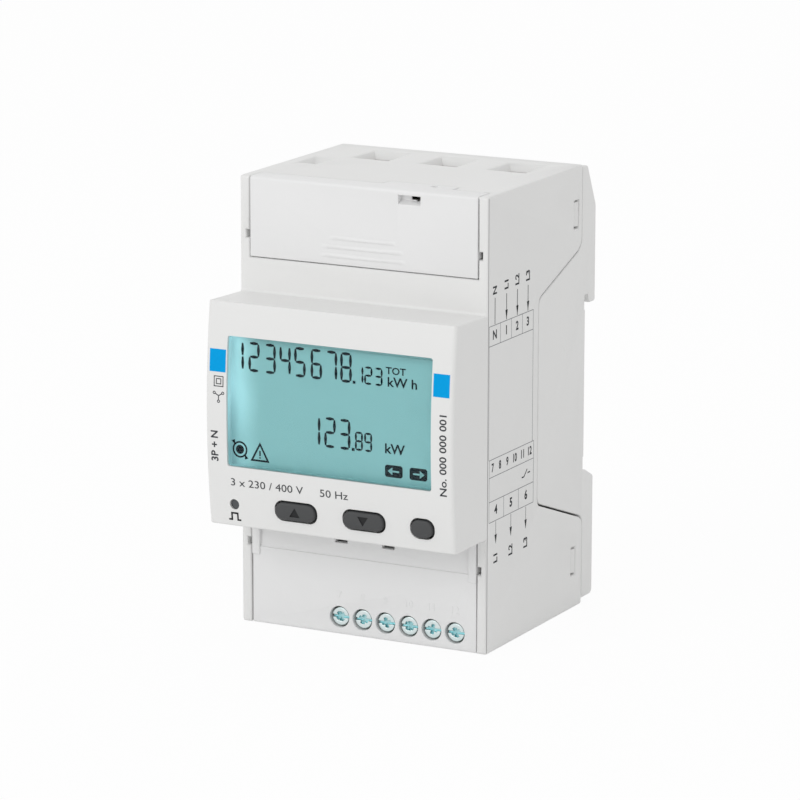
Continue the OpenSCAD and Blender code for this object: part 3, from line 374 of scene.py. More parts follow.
# Faces of the keys' engraving, darkened as painted shade in the groove
ENGRAVED_SHADE = Moulded("engraved_rubber_painted_shade", "1C1D1E", 0.75, 1.43)
# Zinc-plated steel, clear passivated, with a greenish-blue film
ZINC = Metal("zinc_plated_steel", "E0E4E4", 0.3, stain="C4D8D8")
# The same film gathered blue-green in a screw's recess and slot
RECESS = Metal("zinc_film_in_recess", "B4D4D6", 0.3, line=0.3, stain="88C0C6")
# Nickel-plated stamped steel of the clamps
NICKEL = Metal("nickel_plated_steel", "C4BEB2", 0.28, stain="B4ADA0")
# Rolled brass strip
BRASS = Metal("rolled_brass", "CFA850", 0.3, stain="B9924A")
# Bare rolled copper bar
COPPER = Metal("rolled_copper", "C9794F", 0.32, stain="A9603C")
# Bright drawn spring steel
SPRING = Metal("drawn_spring_steel", "B4B6B8", 0.22, stain="9DA0A3")
# Circuit board with green solder mask
BOARD = Board("solder_masked_board", "14532B", 0.35, 1.55)
# Black glass-filled nylon of switches and headers
BLACK_NYLON = Moulded("black_glass_filled_nylon", "18181A", 0.42, 1.53)
# Red epoxy lens of the pulse lamp
LENS = Moulded("red_epoxy_lens", "B8261C", 0.12, 1.55, grain_depth=0.0)
# Smoked acrylic light pipe, dark grey when the lamp is off
SMOKED = Moulded("smoked_acrylic", "4A4D50", 0.18, 1.49, grain_depth=0.0)
# Grey-green polyamide of the signal terminal block
SIGNAL = Moulded("grey_green_polyamide", "9FB0A0", 0.45, 1.53)
# Yellow polyester tape round the transformer
TAPE = Moulded("polyester_tape", "C9A21E", 0.35, 1.6, grain_depth=0.001)
# Shrunk PVC sleeve of an electrolytic capacitor
SLEEVE = Moulded("shrunk_vinyl_sleeve", "1B2448", 0.3, 1.53, grain_depth=0.001)
# Blue epoxy dip of a surge disc
DIPPED = Moulded("dipped_blue_epoxy", "1F4A99", 0.28, 1.55, grain_size=0.6)
# Matt black epoxy mould compound of a chip
EPOXY = Moulded("black_mould_compound", "17181A", 0.6, 1.55)
# Mid-grey acetal of the rail clip, self-lubricating and slightly glossy
ACETAL = Moulded("grey_acetal", "7C7E80", 0.38, 1.48)
# Blue glass-filled polyester of the current sensors
POLYESTER = Moulded("blue_polyester", "2B5A94", 0.4, 1.57)
# Pad-printed cyan-blue ink of the two squares
BLUE_INK = Ink("pad_printed_blue_ink", "00A2E6", 0.42)
# Pad-printed dark grey ink of the marks on the front
GREY_INK = Ink("pad_printed_grey_ink", "47494C", 0.5)
# Pad-printed black ink of the pulse mark
BLACK_INK = Ink("pad_printed_black_ink", "1B1C1E", 0.5)
# Laser-marked table lines of the side, a thin light grey
LASER = Ink("laser_marked_light_grey", "8F9193", 0.6)
# Laser-marked figures and arrows, burnt twice and so darker
LASER_DARK = Ink("laser_marked_dark_grey", "3A3C3F", 0.6)


# Modelling helpers


def start_clean() -> None:
    """Leaves edit mode and deselects everything."""
    if bpy.context.object and bpy.context.object.mode != "OBJECT":
        bpy.ops.object.mode_set(mode="OBJECT")
    bpy.ops.object.select_all(action="DESELECT")


def pick(*pieces: bpy.types.Object) -> bpy.types.Object:
    """Selects just these pieces and makes the first one active.

    Args:
        pieces: the objects to select.

    Returns:
        The first of them.
    """
    start_clean()
    for piece in pieces:
        piece.select_set(True)
    bpy.context.view_layer.objects.active = pieces[0]
    return pieces[0]


def join(pieces: list[bpy.types.Object], name: str) -> bpy.types.Object:
    """Joins several meshes into the first.

    Args:
        pieces: the meshes.
        name: the joined piece's name.

    Returns:
        The joined piece.
    """
    whole = pick(*pieces)
    if len(pieces) > 1:
        bpy.ops.object.join()
    whole.name = name
    whole.data.name = name
    return whole


def settle(piece: bpy.types.Object) -> bpy.types.Object:
    """Puts a piece's place, turn and scale into its mesh."""
    pick(piece)
    bpy.ops.object.transform_apply(location=True, rotation=True, scale=True)
    return piece


def modify(piece: bpy.types.Object, kind: str, **settings: object) -> None:
    """Adds one modifier and applies it.

    Args:
        piece: the mesh.
        kind: Blender's modifier type.
        settings: the modifier's own properties.
    """
    pick(piece)
    modifier = piece.modifiers.new(kind.lower(), kind)
    for key, value in settings.items():
        setattr(modifier, key, value)
    bpy.ops.object.modifier_apply(modifier=modifier.name)


def select_edges(piece: bpy.types.Object, test: Callable[[bmesh.types.BMEdge], bool]) -> int:
    """Selects, in edit mode, the edges that pass a test.

    Args:
        piece: the mesh, already in edit mode.
        test: says for an edge whether it is taken.

    Returns:
        How many were taken.
    """
    bpy.ops.mesh.select_all(action="DESELECT")
    bpy.ops.mesh.select_mode(type="EDGE")
    mesh = bmesh.from_edit_mesh(piece.data)
    taken = [edge for edge in mesh.edges if test(edge)]
    for edge in taken:
        edge.select_set(True)
    bmesh.update_edit_mesh(piece.data)
    return len(taken)


def middle(edge: bmesh.types.BMEdge) -> Vector:
    """Middle of an edge, in mm."""
    return (edge.verts[0].co + edge.verts[1].co) / (2 * MM)


def sharp(edge: bmesh.types.BMEdge, low: float = 50.0, high: float = 130.0) -> bool:
    """Whether an edge is convex and turns by an angle between two limits in degrees."""
    return edge.is_manifold and low < math.degrees(edge.calc_face_angle_signed(0)) < high


def finish_piece(piece: bpy.types.Object, finish: Finish, body: str,
                 smooth: float = 32.0) -> bpy.types.Object:
    """Dresses a piece and hangs it on its body.

    Args:
        piece: the mesh.
        finish: its surface.
        body: the CAD body that carries it.
        smooth: edges that turn less than this many degrees are shaded smooth.

    Returns:
        The same piece.
    """
    pick(piece)
    if not piece.data.materials:
        piece.data.materials.append(finish.make())
    bpy.ops.object.shade_smooth_by_angle(angle=math.radians(smooth))
    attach(piece, body)
    LOG.info("%s: %d faces, on %s", piece.name, len(piece.data.polygons), body)
    return piece


@dataclass
class Shell:
    """A CAD solid whose sharp edges are rounded as its mould leaves them.

    Args:
        node: the CAD node that it stands for.
        body: its body.
        slot: its material slot; not used.
        finish: its surface.
        radius: edge radius in mm.
        steps: segments of the rounding.
        keep: says for an edge's middle, in mm, whether that edge is rounded.
        tool: makes the piece that is cut away, if any.
    """

    node: str
    body: str
    slot: str
    finish: Finish
    radius: float = 0.2
    steps: int = 3
    keep: Callable[[Vector], bool] = field(default=lambda place: True)
    tool: Callable[[], bpy.types.Object] | None = None

    def copy(self) -> bpy.types.Object:
        """Copies the node's mesh, merges it and clears the loader's normals.

        Returns:
            The merged copy.
        """
        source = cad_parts[self.node]
        piece = bpy.data.objects.new(f"{self.node}_skin", source.data.copy())
        bpy.context.scene.collection.objects.link(piece)
        piece.data.name = piece.name
        piece.data.materials.clear()
        pick(piece)
        bpy.ops.object.mode_set(mode="EDIT")
        bpy.ops.mesh.select_all(action="SELECT")
        bpy.ops.mesh.remove_doubles(threshold=MERGE)
        bpy.ops.mesh.dissolve_limited(angle_limit=math.radians(0.04))
        bpy.ops.object.mode_set(mode="OBJECT")
        if piece.data.has_custom_normals:
            bpy.ops.mesh.customdata_custom_splitnormals_clear()
        return piece

    def round_edges(self, piece: bpy.types.Object) -> None:
        """Bevels the chosen sharp edges.

        Args:
            piece: the merged copy.
        """
        pick(piece)
        bpy.ops.object.mode_set(mode="EDIT")
        count = select_edges(piece, lambda edge: sharp(edge) and self.keep(middle(edge)))
        if count:
            bpy.ops.mesh.bevel(offset=self.radius * MM, segments=self.steps, affect="EDGES",
                               clamp_overlap=False, harden_normals=False)
            bpy.ops.mesh.select_all(action="SELECT")
            bpy.ops.mesh.remove_doubles(threshold=MERGE)
        bpy.ops.object.mode_set(mode="OBJECT")
        LOG.info("%s: %d edges rounded", piece.name, count)

    def carve(self, piece: bpy.types.Object) -> None:
        """Cuts the tool away; its finish stays on the cut faces.

        Args:
            piece: the merged copy.
        """
        tool = self.tool()
        piece.data.materials.append(self.finish.make())
        modify(piece, "BOOLEAN", object=tool, operation="DIFFERENCE", solver="EXACT",
               material_mode="TRANSFER")
        bpy.data.objects.remove(tool)

    def build(self) -> bpy.types.Object:
        """Makes the dressed piece that replaces the node.

        Returns:
            The piece.
        """
        piece = self.copy()
        if self.tool:
            self.carve(piece)
        self.round_edges(piece)
        modify(piece, "WEIGHTED_NORMAL", keep_sharp=True)
        finish_piece(piece, self.finish, self.body)
        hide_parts(self.node)
        return piece


# Marks


class Face(Enum):
    """Which face of the housing a mark lies on."""

    FRONT = "front"
    GLASS = "glass"
    SIDE = "side"
    COVER = "cover"


@dataclass
class Marks:
    """Flat shapes drawn on one face, with U to the right and V up in mm, made one thin piece.

    Args:
        face: the face that carries them.
        rise: how far they stand proud, in mm.
        sink: how far their back lies under the surface, in mm.
        level: Y, or X on the side, of a flat face, in mm.
        bow_radius: radius of the bowed front, in mm.
        bow_centre: Y of its axis, in mm.
    """

    face: Face
    rise: float = 0.02
    sink: float = 0.04
    level: float = 0.0
    bow_radius: float = 165.0
    bow_centre: float = 106.7
    shapes: list[bpy.types.Object] = field(default_factory=list)

    def outline(self, points: Iterable[Point]) -> bpy.types.Object:
        """Fills a flat outline.

        Args:
            points: its corners, U and V in mm, in order.

        Returns:
            The flat mesh.
        """
        corners = list(points)
        start_clean()
        bpy.ops.mesh.primitive_circle_add(vertices=len(corners), radius=MM, fill_type="NGON")
        piece = bpy.context.object
        bpy.ops.object.mode_set(mode="EDIT")
        mesh = bmesh.from_edit_mesh(piece.data)
        mesh.verts.ensure_lookup_table()
        for vert, (u, v) in zip(mesh.verts, corners):
            vert.co = Vector((u, v, 0)) * MM
        bmesh.update_edit_mesh(piece.data)
        bpy.ops.object.mode_set(mode="OBJECT")
        self.shapes.append(piece)
        return piece

    def bar(self, u0: float, v0: float, u1: float, v1: float) -> None:
        """Adds a filled rectangle between two corners, cut into rows so that it can follow the bow.

        Args:
            u0: left edge.
            v0: lower edge.
            u1: right edge.
            v1: upper edge.
        """
        start_clean()
        bpy.ops.mesh.primitive_plane_add(size=MM)
        piece = bpy.context.object
        bpy.ops.object.mode_set(mode="EDIT")
        bpy.ops.transform.resize(value=(u1 - u0, v1 - v0, 1))
        bpy.ops.transform.translate(value=((u0 + u1) / 2 * MM, (v0 + v1) / 2 * MM, 0))
        if max(u1 - u0, v1 - v0) > 2:
            bpy.ops.mesh.subdivide(number_cuts=3)
        bpy.ops.object.mode_set(mode="OBJECT")
        self.shapes.append(piece)

    def stroke(self, points: list[Point], width: float, closed: bool = False) -> None:
        """Adds a line of even width through some points, mitred at its corners.

        Args:
            points: the line's points.
            width: its width in mm.
            closed: joins the last point to the first.
        """
        count = len(points)
        legs = [(points[i], points[(i + 1) % count]) for i in range(count if closed else count - 1)]
        ways = [(Vector(b) - Vector(a)).normalized() for a, b in legs]
        left, right = [], []
        for i, point in enumerate(points):
            before = ways[i - 1] if (i or closed) else ways[0]
            after = ways[i % len(ways)] if (i < len(ways) or closed) else ways[-1]
            side = Vector((-(before + after).y, (before + after).x)).normalized()
            reach = width / 2 / max(0.3, side.dot(Vector((-after.y, after.x))))
            left.append(tuple(Vector(point) + side * reach))
            right.append(tuple(Vector(point) - side * reach))
        for i in range(len(legs)):
            j = (i + 1) % count
            self.outline([right[i], right[j], left[j], left[i]])

    def disc(self, u: float, v: float, radius: float, hole: float = 0.0, sides: int = 24) -> None:
        """Adds a disc or a ring.

        Args:
            u: centre.
            v: centre.
            radius: outer radius in mm.
            hole: inner radius in mm, or 0 for a full disc.
            sides: straight sides of the circle.
        """
        start_clean()
        bpy.ops.mesh.primitive_circle_add(vertices=sides, radius=radius * MM, fill_type="NGON",
                                          location=(u * MM, v * MM, 0))
        piece = bpy.context.object
        if hole:
            bpy.ops.object.mode_set(mode="EDIT")
            bpy.ops.mesh.inset(thickness=(radius - hole) * MM * math.cos(math.pi / sides))
            bpy.ops.mesh.delete(type="FACE")
            bpy.ops.object.mode_set(mode="OBJECT")
        self.shapes.append(settle(piece))

    def words(self, text: str, u: float, v: float, height: float, turn: float = 0.0,
              squeeze: float = 1.0, weight: float = 0.0) -> None:
        """Adds plain figures, centred on a point.

        Args:
            text: what is drawn.
            u: centre.
            v: centre.
            height: height of a capital in mm.
            turn: degrees, counterclockwise.
            squeeze: width as a share of the plain width.
            weight: how much each line swells, in mm.
        """
        start_clean()
        bpy.ops.object.text_add()
        piece = bpy.context.object
        piece.data.body = text
        piece.data.align_x = "CENTER"
        piece.data.align_y = "CENTER"
        piece.data.resolution_u = 3
        piece.data.offset = weight * MM / (height * MM / 0.7)
        bpy.ops.object.convert(target="MESH")
        piece = bpy.context.object
        size = height * MM / 0.7
        piece.scale = (size * squeeze, size, 1)
        piece.rotation_euler = (0, 0, math.radians(turn))
        piece.location = (u * MM, v * MM, 0)
        self.shapes.append(settle(piece))

    def place(self, point: Vector) -> Vector:
        """Takes a flat point to the carrying face.

        Args:
            point: U, V and height above the face, in metres.

        Returns:
            The point in the meter's frame.
        """
        if self.face is Face.SIDE:
            return Vector((self.level * MM + point.z, point.x, point.y))
        if self.face is Face.FRONT:
            radius = self.bow_radius * MM
            y = self.bow_centre * MM - math.sqrt(radius ** 2 - point.y ** 2)
            return Vector((point.x, y - point.z, point.y))
        return Vector((point.x, self.level * MM - point.z, point.y))

    def build(self, name: str, finish: Finish, body: str, slot: str) -> bpy.types.Object:
        """Joins the shapes, gives them thickness and lays them on the face.

        Args:
            name: the piece's name.
            finish: its surface.
            body: its body.
            slot: its material slot; not used.

        Returns:
            The finished piece.
        """
        piece = join(self.shapes, name)
        bpy.ops.object.mode_set(mode="EDIT")
        bpy.ops.mesh.select_all(action="SELECT")
        bpy.ops.mesh.remove_doubles(threshold=MERGE)
        bpy.ops.mesh.normals_make_consistent(inside=False)
        bpy.ops.object.mode_set(mode="OBJECT")
        for polygon in piece.data.polygons:
            if polygon.normal.z < 0:
                polygon.flip()
        modify(piece, "SOLIDIFY", thickness=(self.rise + self.sink) * MM, offset=-1)
        for vert in piece.data.vertices:
            vert.co = self.place(vert.co + Vector((0, 0, self.rise * MM)))
        if self.face is not Face.SIDE:
            piece.data.flip_normals()
        bpy.ops.object.mode_set(mode="EDIT")
        bpy.ops.mesh.select_all(action="SELECT")
        bpy.ops.mesh.normals_make_consistent(inside=False)
        bpy.ops.object.mode_set(mode="OBJECT")
        return finish_piece(piece, finish, body, 20)


# Sub-assemblies


@dataclass
class Housing:
    """Front housing, rear base and terminal blocks.

    Args:
        half_width: half the housing's width in mm.
        half_height: half its height in mm.
        shoulder: Y of the shoulder in mm.
        nose_z: Z of the nose's lower and upper end in mm.
        edge: radius of the front housing's outer edges in mm.
        base_edge: radius of the rear base's edges in mm.
        window: Y and Z of the middle of a latch window in mm.
        nib_x: inner and outer X of a latch nib and its half height in mm.
        nib_half: half its width along Y in mm.
    """

    half_width: float = 27.0
    half_height: float = 45.0
    shoulder: float = -44.0
    nose_z: Point = (-22.0, 22.5)
    edge: float = 0.36
    base_edge: float = 0.25
    window: Point = (-4.65, 35.4)
    nib_x: tuple[float, float, float] = (26.1, 26.9, 2.45)
    nib_half: float = 0.85

    def outer(self, place: Vector) -> bool:
        """Whether an edge lies on the housing's outline, not round a hole of its front."""
        ends = abs(place.x) > self.half_width - 0.05 or abs(place.z) > self.half_height - 0.05
        nose = place.y < self.shoulder - 10 and min(abs(place.z - z) for z in self.nose_z) < 0.05
        walls = abs(place.y - self.shoulder) < 0.05 and abs(place.z) > max(self.nose_z) + 0.5
        return ends or nose or walls

    def nibs(self) -> None:
        """Builds the ramps of the four latch tongues, nearly flush in the side windows."""
        low, high, half_z = self.nib_x
        start_clean()
        bpy.ops.mesh.primitive_cube_add(size=2 * MM)
        master = bpy.context.object
        bpy.ops.object.mode_set(mode="EDIT")
        bpy.ops.transform.resize(value=((high - low) / 2, self.nib_half, half_z))
        select_edges(master, lambda edge: all(v.co.x > 0 and v.co.y < 0 for v in edge.verts))
        bpy.ops.transform.translate(value=((low - high) * 0.7 * MM, 0, 0))
        select_edges(master, lambda edge: all(v.co.x > -0.2 * MM for v in edge.verts))
        bpy.ops.mesh.bevel(offset=0.06 * MM, segments=2, affect="EDGES")
        bpy.ops.object.mode_set(mode="OBJECT")
        copies = []
        for side, end in ((1, 1), (1, -1), (-1, 1), (-1, -1)):
            copy = master.copy()
            copy.data = master.data.copy()
            bpy.context.scene.collection.objects.link(copy)
            copy.data.transform(Matrix.Translation(
                ((low + high) / 2 * MM, self.window[0] * MM, self.window[1] * MM)))
            copy.data.transform(Matrix.Diagonal((side, 1, end, 1)))
            if side * end < 0:
                copy.data.flip_normals()
            copies.append(copy)
        bpy.data.objects.remove(master)
        finish_piece(join(copies, "latch_nibs"), HOUSING, "meter")

    def even_bow(self, piece: bpy.types.Object) -> None:
        """Gives the bowed front the even normals of its arc, so that it shades without streaks.

        Args:
            piece: the front housing.
        """
        axis_y = Marks.bow_centre * MM
        mesh = piece.data
        normals = [corner.vector.copy() for corner in mesh.corner_normals]
        for polygon in mesh.polygons:
            if polygon.center.y > (self.shoulder - 10) * MM:
                continue
            for index in polygon.loop_indices:
                place = mesh.vertices[mesh.loops[index].vertex_index].co
                ray = Vector((0, place.y - axis_y, place.z)).normalized()
                if ray.dot(polygon.normal) > math.cos(math.radians(4)):
                    normals[index] = ray
        mesh.normals_split_custom_set(normals)

    def build(self) -> None:
        """Builds and dresses the moulded shells."""
        self.even_bow(
            Shell("front_housing", "meter", "housing", HOUSING, self.edge, 3, self.outer).build())
        Shell("rear_base", "meter", "housing", HOUSING, self.base_edge, 3).build()
        self.nibs()
        Shell("upper_terminal_block", "meter", "terminal_block", POLYAMIDE, 0.12, 2).build()
        Shell("lower_terminal_block", "meter", "terminal_block", POLYAMIDE, 0.12, 2).build()


@dataclass
class Covers:
    """The two terminal covers, with raised terminal numbers on the lower one.

    Args:
        front: Y of the lower cover's face in mm.
        first_x: X of the first signal screw in mm.
        pitch: spacing of the signal screws in mm.
        number_z: Z of the raised numbers in mm.
        number_height: height of a number in mm.
        slot: left, lower, right and upper edge of the seal wire's slot in mm.
    """

    front: float = -43.7
    first_x: float = -5.3
    pitch: float = 5.08
    number_z: float = -37.0
    number_height: float = 1.5
    slot: tuple[float, float, float, float] = (9.9, 42.95, 12.1, 43.65)

    def wire_slot(self) -> bpy.types.Object:
        """Makes the tool that opens the seal pocket for its wire.

        Returns:
            The tool.
        """
        tool = Marks(Face.COVER, rise=1.0, sink=2.2, level=self.front)
        tool.bar(*self.slot)
        return tool.build("wire_slot_tool", COVER, "upper_cover", "cover")

    def build(self) -> None:
        """Builds both covers and the numbers."""
        Shell("upper_terminal_cover", "upper_cover", "cover", COVER, 0.15, 3,
              tool=self.wire_slot).build()
        Shell("lower_terminal_cover", "lower_cover", "cover", COVER, 0.15, 3).build()
        numbers = Marks(Face.COVER, rise=0.06, level=self.front)
        for i in range(6):
            numbers.words(str(7 + i), self.first_x + self.pitch * i, self.number_z,
                          self.number_height)
        numbers.build("raised_numbers", COVER, "lower_cover", "cover")


@dataclass
class Keypad:
    """Three rubber keys; the first two carry an engraved triangle.

    Args:
        front: Y of the keys' faces in mm.
        row: Z of the keys' centres in mm.
        columns: X of the first two keys in mm.
        triangle: half width and half height of a triangle in mm.
        groove: its depth in mm.
        gap: how much narrower all round the key's head is than its CAD block, in mm.
    """

    front: float = -57.97
    row: float = -17.5
    columns: tuple[float, float] = (-7.45, 7.45)
    triangle: tuple[float, float] = (1.15, 0.9)
    groove: float = 0.16
    gap: float = 0.14

    def engrave(self, key: bpy.types.Object, x: float, up: int) -> None:
        """Cuts a triangle into a key.

        Args:
            key: the key's mesh.
            x: the key's centre in mm.
            up: 1 when the triangle points up, or -1.
        """
        half_w, half_h = self.triangle
        cutter = Marks(Face.GLASS, rise=0.2, sink=self.groove, level=self.front)
        low, high = self.row - up * half_h, self.row + up * half_h
        corners = [(x - half_w, low), (x + half_w, low), (x, high)]
        cutter.outline(corners if up > 0 else corners[::-1])
        tool = cutter.build(f"{key.name}_cutter", ENGRAVED_SHADE, "meter", "key")
        key.data.materials.append(KEY.make())
        # The cut faces take the cutter's dark finish: painted shade in the groove
        modify(key, "BOOLEAN", object=tool, operation="DIFFERENCE", solver="EXACT",
               material_mode="TRANSFER")
        bpy.data.objects.remove(tool)

    def narrow(self, key: bpy.types.Object) -> None:
        """Makes the head of a key narrower, which leaves a dark gap round it.

        Args:
            key: the key's mesh.
        """
        pick(key)
        bpy.ops.object.mode_set(mode="EDIT")
        select_edges(key, lambda edge: all(v.co.y < (self.front + 1.2) * MM for v in edge.verts))
        heads = [v.co for v in bmesh.from_edit_mesh(key.data).verts if v.select]
        spans = [(min(c[i] for c in heads), max(c[i] for c in heads)) for i in (0, 2)]
        ratios = [1 - 2 * self.gap * MM / (high - low) for low, high in spans]
        centre = [(low + high) / 2 for low, high in spans]
        bpy.ops.transform.resize(value=(ratios[0], 1, ratios[1]),
                                 center_override=(centre[0], 0, centre[1]))
        bpy.ops.object.mode_set(mode="OBJECT")

    def build(self) -> None:
        """Builds the three keys."""
        for node, x, up in (("up_key", self.columns[0], 1), ("down_key", self.columns[1], -1),
                            ("enter_key", 0.0, 0)):
            shell = Shell(node, node, "key", KEY, 0.35, 3,
                          lambda place: place.y < self.front + 0.05)
            key = shell.copy()
            self.narrow(key)
            shell.round_edges(key)
            if up:
                self.engrave(key, x, up)
            finish_piece(key, KEY, node)
            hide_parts(node)


SEGMENTS = {
    "0": "abcdef", "1": "bc", "2": "abged", "3": "abgcd", "4": "fgbc", "5": "afgcd",
    "6": "afgedc", "7": "abc", "8": "abcdefg", "9": "abcdfg",
}


@dataclass
class Display:
    """Clear pane, liquid crystal cell and the segments that are switched on.

    Args:
        glass: Y of the cell's front face in mm.
        shift: how far a point seen on the front moves to the cell, in X and Z, in mm.
        line: width of a large figure's segment in mm.
        thin: width of a small figure's segment in mm.
    """

    glass: float = -55.16
    shift: Point = (-1.69, -0.75)
    line: float = 0.66
    thin: float = 0.48

    def segment(self, length: float, line: float) -> bpy.types.Object:
        """Models one lying segment with pointed ends, from a six-sided primitive.

        Args:
            length: its length in mm.
            line: its width in mm.

        Returns:
            The flat segment, centred.
        """
        start_clean()
        bpy.ops.mesh.primitive_circle_add(vertices=6, radius=line / 2 * MM, fill_type="NGON")
        piece = bpy.context.object
        bpy.ops.object.mode_set(mode="EDIT")
        for side in (-1, 1):
            bpy.ops.mesh.select_all(action="DESELECT")
            mesh = bmesh.from_edit_mesh(piece.data)
            for vert in mesh.verts:
                vert.select_set(vert.co.x * side > 0)
            bmesh.update_edit_mesh(piece.data)
            bpy.ops.transform.translate(value=(side * (length - line) / 2 * MM, 0, 0))
        bpy.ops.object.mode_set(mode="OBJECT")
        return piece

    def digit(self, marks: Marks, master: bpy.types.Object, figure: str, left: float, low: float,
              width: float, height: float, line: float) -> None:
        """Copies the master segment into one figure.

        Args:
            marks: takes the copies.
            master: the lying segment, as long as the figure is wide.
            figure: a digit.
            left: its left edge in mm.
            low: its lower edge in mm.
            width: its width in mm.
            height: its height in mm.
            line: width of a segment in mm.
        """
        upright = (height / 2 - line / 2) / (width - line)
        mid_u, top, bottom = left + width / 2, low + height - line / 2, low + line / 2
        centre = low + height / 2
        right_u, left_u = left + width - line / 2, left + line / 2
        spots = {
            "a": (mid_u, top, 0), "g": (mid_u, centre, 0), "d": (mid_u, bottom, 0),
            "f": (left_u, (top + centre) / 2, 1), "b": (right_u, (top + centre) / 2, 1),
            "e": (left_u, (bottom + centre) / 2, 1), "c": (right_u, (bottom + centre) / 2, 1),
        }
        for name in SEGMENTS[figure]:
            u, v, standing = spots[name]
            copy = master.copy()
            copy.data = master.data.copy()
            bpy.context.scene.collection.objects.link(copy)
            stretch = Matrix.Diagonal((upright if standing else 1, 1, 1, 1))
            turn = Matrix.Rotation(math.pi / 2 * standing, 4, "Z")
            copy.data.transform(Matrix.Translation((u * MM, v * MM, 0)) @ turn @ stretch)
            marks.shapes.append(copy)

    def figures(self, marks: Marks, text: str, rights: list[float], low: float, width: float,
                height: float, line: float) -> None:
        """Draws a row of digits by the place of each right edge.

        Args:
            marks: takes the segments.
            text: the digits.
            rights: right edge of each digit as seen on the front, in mm.
            low: lower edge as seen on the front, in mm.
            width: width of a digit in mm.
            height: height of a digit in mm.
            line: width of a segment in mm.
        """
        master = self.segment(width - line * 1.15, line)
        for figure, right in zip(text, rights):
            self.digit(marks, master, figure, right - width + self.shift[0], low + self.shift[1],
                       width, height, line)
        bpy.data.objects.remove(master)

    def symbols(self, marks: Marks) -> None:
        """Draws the points, units and status symbols.

        Args:
            marks: takes the shapes.
        """
        dx, dz = self.shift
        marks.bar(5.7 + dx, 9.55 + dz, 6.3 + dx, 10.15 + dz)
        marks.bar(5.5 + dx, -3.65 + dz, 6.1 + dx, -3.05 + dz)
        marks.words("TOT", 15.0 + dx, 12.8 + dz, 1.35, squeeze=1.1, weight=0.035)
        marks.words("kW h", 16.4 + dx, 10.6 + dz, 1.85, squeeze=1.08, weight=0.045)
        marks.words("kW", 14.75 + dx, -2.45 + dz, 1.9, squeeze=1.05, weight=0.045)
        arrows = Marks(Face.GLASS, rise=0.045, sink=0.0, level=self.glass)
        for left in (12.7, 18.0):
            u0, u1, v0, v1, cut = left + dx, left + 3.8 + dx, -7.9 + dz, -5.5 + dz, 0.35
            marks.outline([(u0 + cut, v0), (u1 - cut, v0), (u1, v0 + cut), (u1, v1 - cut),
                           (u1 - cut, v1), (u0 + cut, v1), (u0, v1 - cut), (u0, v0 + cut)])
            tip = 1 if left > 15 else -1
            mid_u, mid_v = (u0 + u1) / 2, (v0 + v1) / 2
            arrows.bar(mid_u - tip * 0.2 - 0.95, mid_v - 0.16, mid_u - tip * 0.2 + 0.95, mid_v + 0.16)
            head = [(mid_u + tip * 0.3, mid_v - 0.75), (mid_u + tip * 1.3, mid_v),
                    (mid_u + tip * 0.3, mid_v + 0.75)]
            arrows.outline(head[::tip])
        arrows.build("display_arrows", CRYSTAL, "meter", "display")
        ring_u, ring_v = -19.15 + dx, -6.1 + dz
        marks.disc(ring_u, ring_v, 1.65, 1.3, 40)
        marks.disc(ring_u, ring_v, 0.9)
        for way in (1, -1):
            tip_u, tip_v = ring_u - way * 1.1, ring_v + way * 1.55
            head = [(tip_u, tip_v - way * 0.7), (tip_u, tip_v + way * 0.35),
                    (tip_u - way * 0.75, tip_v + way * 0.1)]
            marks.outline(head)
        u, low, high = -14.7 + dx, -7.9 + dz, -4.6 + dz
        marks.stroke([(u - 1.8, low), (u + 1.8, low), (u, high)], 0.38, closed=True)
        marks.bar(u - 0.16, low + 0.95, u + 0.16, low + 2.0)
        marks.bar(u - 0.16, low + 0.45, u + 0.16, low + 0.72)

    def pane(self) -> None:
        """Builds the pane; its side faces take the display's colour as a painted reflection of the
        display.
        """
        pane = Shell("display_window", "meter", "window", PANE, 0.12, 2).build()
        pane.data.materials.append(CRYSTAL.make())
        # Side faces get the crystal colour: painted reflection of the display
        for polygon in pane.data.polygons:
            polygon.material_index = int(abs(polygon.normal.y) < 0.5)

    def build(self) -> None:
        """Builds the pane and the segments."""
        self.pane()
        marks = Marks(Face.GLASS, rise=0.03, sink=0.03, level=self.glass)
        self.figures(marks, "12345678", [-18.1, -14.6, -11.05, -7.75, -4.5, -0.9, 2.4, 5.55],
                     9.55, 2.6, 6.0, self.line)
        self.figures(marks, "123", [8.05, 10.0, 12.2], 9.65, 1.85, 3.6, self.thin)
        self.figures(marks, "123", [-1.3, 2.05, 5.25], -3.65, 2.6, 6.1, self.line)
        self.figures(marks, "89", [7.95, 9.95], -3.5, 1.8, 3.8, self.thin)
        self.symbols(marks)
        marks.build("display_segments", SEGMENT, "meter", "display")


